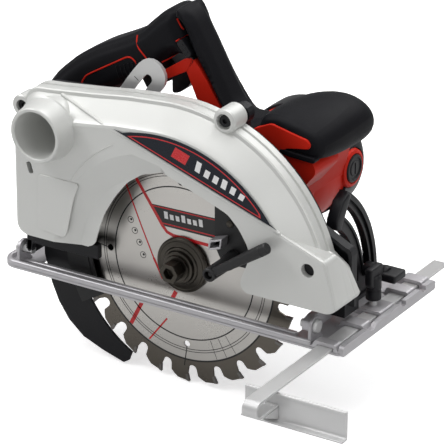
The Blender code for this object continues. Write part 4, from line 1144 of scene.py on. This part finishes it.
def make_tilt_parts():
    black = "black_plastic"
    rest, full = 6.5, 51.5
    body = arc(99, -2, full + 6, 40, PIN) + arc(72, full + 6, 0, 40, PIN) + [(58, -26.2), (90, -26.2)]
    head = [polar(radius, full + turn, PIN) for radius, turn in ((98, 2.6), (98, 5.4), (90, 8.4), (76, 9.4),
                                                                    (69.6, 7), (70, 1))]
    quadrant = plate("bevel_casting", [body, slot_band(86, 4.2, rest, full, 40, PIN)], "YZ", 106.5, 110.5,
                     black)
    fuse(quadrant,
         plate("outer_bead", [band(95, 99, 0, full + 6, 40, PIN)], "YZ", 106, 112.6, black),
         plate("inner_bead", [band(72, 75.6, 4, full + 6, 40, PIN)], "YZ", 106, 112.2, black),
         plate("slot_bead", [slot_band(86, 6.2, rest, full, 40, PIN), slot_band(86, 4.2, rest, full, 40,
                                                                                PIN)],
               "YZ", 106, 111.6, black),
         plate("end_flange", [head], "YZ", 104.5, 114, black, 1.6, 3),
         block("foot", (96, 112), (58, 90), (-26.2, -23), black))
    keep(soften(quadrant, 0.8, 3), "sole", "bevel_quadrant")
    strip = plate("depth_strip", [slot_band(205, 12.8, 140.0, 183, 60, PIVOT),
                                  slot_band(205, 3.6, 141, 178.5, 60, PIVOT)],
                  "XZ", 13.4, 16.4, "bright_steel", 0.5, 2)
    keep(strip, "frame", "depth_arc")
    for number in range(9):
        at = 143.0 + number * 4.2
        mark = plate(f"depth_mark_{number}", [stroke([polar(209.6, at, PIVOT), polar(214.2, at, PIVOT)],
                                                     0.45)], "XZ",
                     13.32, 13.5, "print_black")
        keep(mark, "frame", slot="bright_steel")
    for name, x, way in (("rear", -137.4, -1), ("front", 119.2, 1)):
        head = lathe(f"pivot_head_{name}", [(0, 0), (5.4, 0), (5.4, 1.2), (4.4, 2.4), (0, 2.8)], (x, *PIN),
                     (way, 0, 0), "bright_steel", 40)
        keep(head, "frame")


def make_controls():
    black, rubber = "black_plastic", "grip_rubber"
    tilt = Matrix.Rotation(radians(-30), 4, "Y")
    lever = plate("trigger_key", [rounded([(-15, -8.6), (15, -8.6), (15, 7.6), (-15, 7.6)], 4, 5)], "XZ", -7,
                  7, black,
                  2.2)
    lever.data.transform(TO_FRAME @ Matrix.Translation((-46, 42, 127.5)) @ tilt @ TO_FRAME.inverted())
    keep(lever, "trigger_key", "trigger")
    button = plate("lock_key", [rounded([(-7.3, -3), (7.3, -3), (7.3, 3), (-7.3, 3)], 2.6, 4)], "XZ", 22.6,
                   31.5, black, 1.2)
    button.data.transform(LOCK_PLACE)
    keep(button, "lock_key", "lock_button")
    for number in range(3):
        ridge = block(f"lock_ridge_{number}", (-3.6 + number * 3.2, -2.8 + number * 3.2), (22.0, 23.4),
                      (-2.0, 2.0), black,
                      0.3)
        ridge.data.transform(LOCK_PLACE)
        keep(ridge, "lock_key")
    x, z = polar(205, 177, PIVOT)
    hub = lathe("clamp_hub", [(3.4, 0), (7.5, 0), (7.5, 8.6), (6.4, 10), (0, 10), (0, 6.4), (3.4, 6.4)],
                (x, 16.9, z),
                (0, 1, 0), black, 48)
    handle = [(x - 46, z - 3), (x - 43, z - 4.4), (x - 10, z - 4), (x, z - 6), (x, z + 6), (x - 10, z + 4),
              (x - 43, z + 4.4),
              (x - 46, z + 3)]
    fuse(hub, plate("clamp_handle", [rounded(handle, 3, 4)], "XZ", 19.5, 25.5, black, 1.2))
    keep(soften(hub, 0.4, 2), "clamp_lever", "depth_lever")
    inlet = lathe("cord_sleeve", [(4.5, 0), (8.4, 0), (8.4, 2), (7.6, 2.6), (7.6, 3.4), (8.2, 4), (7.4, 6.8),
                                  (4.5, 7)],
                  (-150.4, 42, 74), (-1, 0, 0), rubber, 48)
    keep(inlet, "saw", "cord_inlet")


# ---------------------------------------------------------------- assembly

make_camera()
make_stage()
MATS = make_materials()
SLOT_OF = {row["node"]: row["material_slot"] for row in frame["record"]["subparts"]}
for node, made in frame["nodes"].items():
    made.data.materials.clear()
    made.data.materials.append(MATS[SLOT_OF[node]])
make_blade()
make_arbor()
make_cover()
make_grip()
make_knob()
make_housing()
make_lower_guard()
make_knife()
make_sole()
make_fence()
wing_screw("fence_knob", "fence_wing_screw", "fence_screw", foot_of("fence_wing_screw", 2), (0, 0, 1))
wing_screw("bevel_knob", "bevel_wing_screw", "bevel_screw", foot_of("bevel_wing_screw", 0), (1, 0, 0))
make_tilt_frame()
make_tilt_parts()
make_controls()
for node in ("inner_guard", "gear_case"):
    soften(frame["nodes"][node], 1.0, 3)
